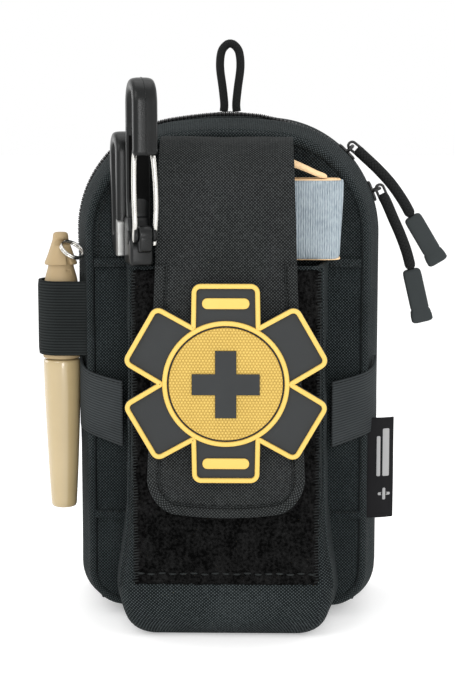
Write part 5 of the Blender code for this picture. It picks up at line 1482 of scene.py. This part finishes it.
def makeShears(s):
    # clip handle, gate fittings and thumb loop; the blades stay as they are in the frame
    half, band = s["half"], s["band"] / 2
    r = s["depth"] / 2
    centre = (s["start"] + r, s["top"] - r)
    back = s["start"] + band
    path = np.vstack([[(back + 0.5, s["low"] + 4)],
                      straight((back + 0.5, s["low"] + 4), (back, centre[1]), 24),
                      arcPoints(*centre, r - band, 180, 0, 40),
                      straight((centre[0] + r - band, centre[1]), (centre[0] + r - band, s["nose"] + 0.3),
                               12),
                      [(centre[0] + r - band, s["nose"] + 0.3)]])
    path = evenly(path, 0.6)
    walk = np.linspace(0, lengthOf(path), len(path))
    left = walk[-1] - walk
    wide = band * (1 + 0.35 * np.clip(1 - walk / 14, 0, 1)) * (1 - 0.05 * np.clip(1 - left / 2, 0, 1))
    # the back leg is thinner where the pressed gate lands
    thin = np.clip((path[:, 1] - 154.0) / 6.0, 0, 1) * np.clip((186.0 - path[:, 1]) / 6.0, 0, 1)
    thin = thin * (path[:, 0] < centre[0])
    wide = wide * (1 - 0.28 * thin)
    path[:, 0] -= 0.6 * thin
    lip = 0.07 * np.exp(-(((left - 1.3) / 0.5) ** 2)) - 0.16 * np.clip(1 - left / 0.7, 0, 1)
    side = s["clipShift"]
    grid = bandGrid(path, wide * (1 + lip), half * (1 + lip * 0.6), power=0.62, shift=side)
    hook = shell("clipHandleHook", grid)
    dressed(hook, "shears", blackPlastic, "black_plastic", "shears_clip_handle")
    # the moulding's parting line runs down the middle of the hook's outer face
    outer = path[walk > 30]
    along = heading(outer)
    out = np.stack([-along[:, 1], along[:, 0]], 1)
    seam = outer + out * (band + 0.02)
    seam = shearsPlace(seam[:, 0], side, seam[:, 1])
    line = tube("clipPartingLine", seam, 0.16, 0.16, (0, 0.2, 1), 6)
    dressed(line, "shears", blackPlastic, "black_plastic")

    end = s["start"] + s["depth"]
    low = s["low"] - 1.9
    base = roundedLine([(s["start"], low), (end - 5.2, low), (end - 5.0, 142.5), (end - 6.4, 145.6),
                        (s["start"] + 6.6, 153.5), (s["start"] + 0.3, 153.5)], 1.6)
    shearsBlock("clipHandleBase", base, side - half - 0.6, side + 3.3, 1.3)
    # knuckle rings round the gate's pin, with a rivet head on the side
    pinU = end - 3.4
    for name, low, high, radius in (("middle", -2.3, 2.3, 3.1), ("left", -4.0, -2.5, 2.6),
                                    ("right", 2.5, 4.0, 2.6)):
        ring = arcPoints(pinU - 0.6, s["pivot"] - 0.2, radius, 0, 360, 41)[:-1]
        shearsBlock(f"gateKnuckle_{name}", ring, side + low, side + high, 0.5)
    neck = roundedLine([(end - 9.0, 140.5), (end - 1.6, 142.0), (end - 0.9, 147.5), (end - 4.5, 150.2),
                        (end - 9.0, 150.0)], 1.2)
    shearsBlock("gateKnuckleNeck", neck, side - 2.4, side + 2.4, 0.9)
    t = np.linspace(0, 2 * np.pi, 32, endpoint=False)
    rivet = np.stack([pinU - 5.6 + 1.7 * np.cos(t), s["pivot"] - 1.5 + 2.5 * np.sin(t)], 1)
    shearsBlock("clipHandleRivet", rivet, side - half - 0.95, side - half, 0.3)
    pin = np.stack([pinU + 1.1 * np.cos(t), s["pivot"] + 1.1 * np.sin(t)], 1)
    shearsBlock("gatePinRod", pin, side - 2.35, side + 2.35, 0.15, steel, "steel", "shears", ("gate_pin",))

    # thumb loop behind: a closed oval band
    r = s["thumbDepth"] / 2
    front, rear, high, low = -0.6 - band, -0.6 - 2 * r + band, s["thumbTop"] - r, s["low"] + 9.5
    oval = np.vstack([arcPoints(-0.6 - r, high, r - band, 0, 180, 32),
                      straight((rear, high), (rear + 2.2, low), 22),
                      arcPoints(-0.6 - r + 1.1, low, r - band - 1.1, 180, 360, 28),
                      straight((front, low), (front, high), 22)])
    oval = evenly(oval, 0.6, closed=True)
    loop = shell("thumbLoopBand", bandGrid(oval, band * 0.96, half, True, 0.5), closed=True)
    dressed(loop, "shears", blackPlastic, "black_plastic", "shears_thumb_handle")
    foot = roundedLine([(-0.9, s["low"] + 0.2), (-0.9, 151.0), (-5.0, 147.5), (-11.5, 146.2),
                        (-13.2, 143.4), (-8.5, s["low"] + 0.2)], 1.4)
    shearsBlock("thumbLoopFoot", foot, -half, half, 1.2)
    # bright serrated stop between the two handles
    teeth = [(1.0 + 0.35 * (k % 2), 139.0 + 0.42 * k) for k in range(30)]
    stop = np.array([(-2.9, 152.0), (-3.6, 139.0), *teeth])
    shearsBlock("handleStop", stop, -half - 0.1, -2.2, 0.08, dullSteel, "steel")
    # the back leg is hollowed in front: a matt near-black strip is painted there as the hollow's shade
    groove = roundedLine([(4.6, 158.0), (5.2, 158.0), (5.1, 182.0), (4.6, 182.0)], 0.1)
    shearsBlock("clipHandleGrooveShade", groove, side - 3.5, side + 3.5, 0.1, grooveShade)

    makeGateWire(s, pinU)
    for name in ("shears_blade_long", "shears_blade_short"):
        kept(name, steel, 0.15)
    kept("shears_screw", blackMetal, 0.2)


def makeGateWire(s, pinU):
    # one bent wire: up both sides of the gap, bowed a little outwards, with a bar under the nose
    k, top = s["spacing"], s["nose"] + 2.4
    side = [(-0.9, -0.2, s["pivot"] - 2.6), (-0.6, 0.0, s["pivot"] - 0.4), (0.9, 0.1, s["pivot"] + 3.5),
            (1.2, 0.35, s["pivot"] + 10.0), (0.0, 0.25, s["pivot"] + 19.0), (-1.7, -0.3, top - 2.2)]
    left = [(pinU + u, -k - 0.1 - out, z) for u, out, z in side]
    across = [(pinU - 2.2, -k + 1.3, top), (pinU - 2.3, 0.0, top + 0.2), (pinU - 2.2, k - 1.3, top)]
    right = [(u, -a, z - (1.4 if z < s["pivot"] + 1 else 0.0)) for u, a, z in left[::-1]]
    path = smoothRoute([*left, *across, *right], 0.5)
    path = shearsPlace(path[:, 0], path[:, 1] + s["clipShift"], path[:, 2])
    yaw = math.radians(s["yaw"])
    forward = (math.sin(yaw), -math.cos(yaw), 0)
    wire = tube("gateWireBent", path, s["wire"], s["wire"] * 0.8, forward, 12)
    dressed(wire, "gate", steel, "steel", "gate_wire")


def kept(name, finish, bevel=0.0):
    # a CAD node that stays as it is, with a detailed finish and eased edges
    obj = bpy.data.objects[name]
    obj.data.materials.clear()
    obj.data.materials.append(finish.material)
    if bevel:
        eased = obj.modifiers.new("eased", "BEVEL")
        eased.width, eased.segments, eased.limit_method = bevel * mm, 2, "ANGLE"
    return obj


makeShears(shears)
print("shears made")


# splint

splint = {"right": 41.2, "width": 26.0, "low": 137.6, "top": 166.1, "front": -56.8, "back": -44.3, "turns": 4}


def makeSplint(s):
    # a flattened roll: upright outline with a soft bulge, foam layers showing on its ends
    x0, x1 = s["right"] - s["width"], s["right"]
    middleX, middleY = (x0 + x1) / 2, (s["front"] + s["back"]) / 2
    turn = np.linspace(0, 2 * np.pi, 160, endpoint=False)
    cx, cy = rounded(turn, 2 / 4.5)
    z = np.linspace(s["low"] + 0.3, s["top"] - 0.3, 40)
    lean = (z - s["low"]) / (s["top"] - s["low"]) - 0.5
    ends = np.array([0.97, 0.99, *np.ones(36), 0.99, 0.97])
    x = middleX + (s["width"] / 2 * cx[None, :] * ends[:, None]) + lean[:, None] * 1.6 * (cx[None, :] > 0.2)
    x = np.minimum(x, x1 + 0.4)
    y = middleY + (-s["front"] + s["back"]) / 2 * cy[None, :] * ends[:, None]
    y = y + 0.25 * ripple(x, np.broadcast_to(z[:, None], x.shape), 7.0, 61) * (cy < 0)
    grid = np.stack([x, y, np.broadcast_to(z[:, None], x.shape)], -1)
    roll = shell("splintRollFace", grid)
    dressed(roll, "splint", splintFelt, "splint_grey", "splint_roll")
    # the foam core's edge shows as a rim round both ends
    for name, height in (("top", s["top"] - 0.2), ("low", s["low"] + 0.25)):
        for k in range(s["turns"]):
            inset = 0.9 + k * 1.35
            halfX, halfY = s["width"] / 2 - inset, (s["back"] - s["front"]) / 2 - inset
            path = np.stack([middleX + halfX * cx, middleY + halfY * cy, np.full(160, height)], 1)
            ring = tube(f"splintCoreEdge_{name}_{k}", path, 0.42, 0.38, (0, 0, 1), 8, closed=True)
            dressed(ring, "splint", splintFoam, "splint_tan")
    # the tail of the foam core lies across the roll's top
    path = smoothRoute([(x1 - 5.6, s["top"] + 0.9), (x1 - 9, s["top"] + 2.0), (x1 - 14, s["top"] + 4.2),
                        (x1 - 22.0, s["top"] + 7.4)], 0.8)
    along = heading(path)
    out = np.stack([-along[:, 1], along[:, 0]], 1)
    depth = np.linspace(s["front"] + 1.2, s["back"] - 3.5, 12)
    section = np.concatenate([[(-1.0, d) for d in depth], [(1.0, d) for d in depth[::-1]]])
    shrink = 0.75 + 0.55 * np.linspace(0, 1, len(path))
    shrink[0], shrink[1] = 0.4, 0.7
    x = path[:, :1] + out[:, :1] * section[None, :, 0] * shrink[:, None]
    z = path[:, 1:] + out[:, 1:] * section[None, :, 0] * shrink[:, None]
    y = np.broadcast_to(section[None, :, 1], x.shape)
    tail = shell("splintCoreTail", np.stack([x, y, z], -1))
    dressed(tail, "splint", splintFoam, "splint_tan", "splint_core")


makeSplint(splint)
print("splint made")


# zip sliders

slider = {"halfLength": 3.9, "halfWidth": 3.7, "low": 42.0, "thick": 1.0, "bar": 45.4, "barThick": 0.6}


def makeSlider(name, s):
    # a rounded plate over the teeth with a bridge that holds the pull's bar
    angle = math.radians(cords["pulls"][name]["angle"])
    out = np.array([math.cos(angle), 0, math.sin(angle)])
    along = np.array([-out[2], 0, out[0]])
    centre = np.array([cornerX, pouch["zip"], cornerZ])

    def place(a, b, height):
        # a along the zip, b across it; the plate curves with the corner
        bend = height - 0.012 * a**2
        return centre + out * bend[:, None] + along * a[:, None] + np.array([0, 1.0, 0]) * b[:, None]

    outline = roundBox(s["halfLength"], s["halfWidth"], 1.6, (0, 0), 7)
    grid = plateGrid(outline, s["low"], s["low"] + s["thick"], 0.35, place, 4)
    plate = shell(f"sliderPlate_{name}", grid)
    dressed(plate, f"slider_{name}", blackMetal, "black_metal", f"zip_slider_{name}")
    half, top = s["halfWidth"] + 0.8, s["bar"]
    path = np.array([(0, -half + 1.2, s["low"] + 0.4), (0, -half + 0.3, s["low"] + 1.6),
                     (0, -half + 0.6, top - 0.5),
                     (0, -half + 1.8, top), (0, half - 1.8, top), (0, half - 0.6, top - 0.5),
                     (0, half - 0.3, s["low"] + 1.6), (0, half - 1.2, s["low"] + 0.4)])
    path = smoothRoute(path, 0.35)
    path = centre + along * path[:, :1] + np.array([0, 1.0, 0]) * path[:, 1:2] + out * path[:, 2:]
    obj = tube(f"sliderBridge_{name}", path, s["barThick"], s["barThick"] * 0.8, along)
    dressed(obj, f"slider_{name}", blackMetal, "black_metal")


for sliderName in ("upper", "lower"):
    makeSlider(sliderName, slider)


# back fastening, hanging tab and the parts kept from the frame

backShape = {"rows": {"upper": 131.15, "lower": 56.15}, "rowHalf": 50.0, "wide": 25.0, "rowY": (13.3, 14.9),
             "strapX": {"left": -25.0, "right": 25.0}, "strapZ": (24.65, 162.65), "strapY": (15.2, 16.8),
             "snapY": (17.1, 18.9), "snapRadius": 6.5, "snapZ": 37.15}


def makeBack(s):
    # two level rows and two upright straps of webbing, with a snap at each strap's foot
    half = s["wide"] / 2
    for name, z in s["rows"].items():
        outline = roundBox(s["rowHalf"], half, 0.8, (0, z), 4)
        outline = evenly(outline, 1.5, closed=True)
        obj = frontPlate(f"webbingRow_{name}", outline, s["rowY"][1], s["rowY"][0], 0.5)
        dressed(obj, "pouch_rear", webbing, "webbing", f"molle_row_{name}")
        for k, x in enumerate((-48.4, -12.0, 12.0, 48.4)):
            line = np.stack([np.full(20, x), np.full(20, s["rowY"][1]),
                             np.linspace(z - half + 1, z + half - 1, 20)], 1)
            sewn("pouch_rear", f"rowTack_{name}_{k}", line, (0, 1, 0), length=1.6, pitch=1.0, radius=0.24,
                 turned=70)
    for name, x in s["strapX"].items():
        low, high = s["strapZ"]
        outline = evenly(roundBox(half, (high - low) / 2, 2.0, (x, (low + high) / 2), 5), 1.5, closed=True)
        obj = frontPlate(f"webbingStrap_{name}", outline, s["strapY"][1], s["strapY"][0], 0.5)
        dressed(obj, "pouch_rear", upWebbing, "webbing", f"molle_strap_{name}")
        box = evenly(roundBox(half - 2, 9.5, 0.5, (x, high - 12.5), 3), 2.8, closed=True)
        line = np.stack([box[:, 0], np.full(len(box), s["strapY"][1]), box[:, 1]], 1)
        sewn("pouch_rear", f"strapBox_{name}", line, (0, 1, 0), length=2.0, pitch=2.8, radius=0.24,
             closed=True)
        y0, y1 = s["snapY"]
        r = s["snapRadius"]
        profile = [(0.02, y1 - 0.15), (r * 0.3, y1 - 0.12), (r * 0.45, y1 - 0.02), (r * 0.7, y1),
                   (r * 0.88, y1 - 0.2),
                   (r * 0.98, y1 - 0.7), (r, y1 - 1.1), (r * 0.97, y0 + 0.05), (0.02, y0)]
        snap = latheY(f"snapCap_{name}", profile, (x, s["snapZ"]))
        dressed(snap, "pouch_rear", blackMetal, "black_metal", f"molle_snap_{name}")


def latheY(name, profile, centre, sides=64):
    # radius and depth pairs turned about an axis that runs front to back
    p = np.asarray(profile, float)
    turn = np.linspace(0, 2 * np.pi, sides, endpoint=False)
    x, z = centre[0] + p[:, :1] * np.cos(turn), centre[1] + p[:, :1] * np.sin(turn)
    return shell(name, np.stack([x, np.broadcast_to(p[:, 1:], x.shape), z], -1))


def makeHangTab():
    # a stitched tab of tape that anchors the hanging loop
    outline = roundBox(7.0, 4.0, 0.8, (0, 0), 4)

    def place(a, b, along):
        # the tab bends down a little at both ends
        return np.stack([a, b, along - 0.02 * a**2], 1)

    obj = shell("hangTabWebbing", plateGrid(outline, 187.75, 188.85, 0.35, place))
    dressed(obj, "pouch_rear", bindingTape, "webbing", "hang_tab")
    box = evenly(roundBox(6.1, 3.1, 0.4, (0, 0), 3), 1.5, closed=True)
    line = np.stack([box[:, 0], box[:, 1], 188.9 - 0.02 * box[:, 0] ** 2], 1)
    sewn("pouch_rear", "hangTabStitches", line, (0, 0, 1), length=1.1, pitch=1.5, radius=0.2, closed=True)


makeBack(backShape)
makeHangTab()
kept("tourniquet_plate", blackPlastic, 0.3)
kept("tourniquet_windlass", blackPlastic, 0.2)
kept("tourniquet_clip", blackPlastic, 0.2)
kept("tourniquet_buckle", blackPlastic, 0.3)
kept("tourniquet_strap", upWebbing, 0.3)
kept("rear_pocket", liningCloth, 0.3)
kept("flap_hook_panel", hookPile, 0.2)
kept("patch_backing", hookPile, 0.2)
print("back made")
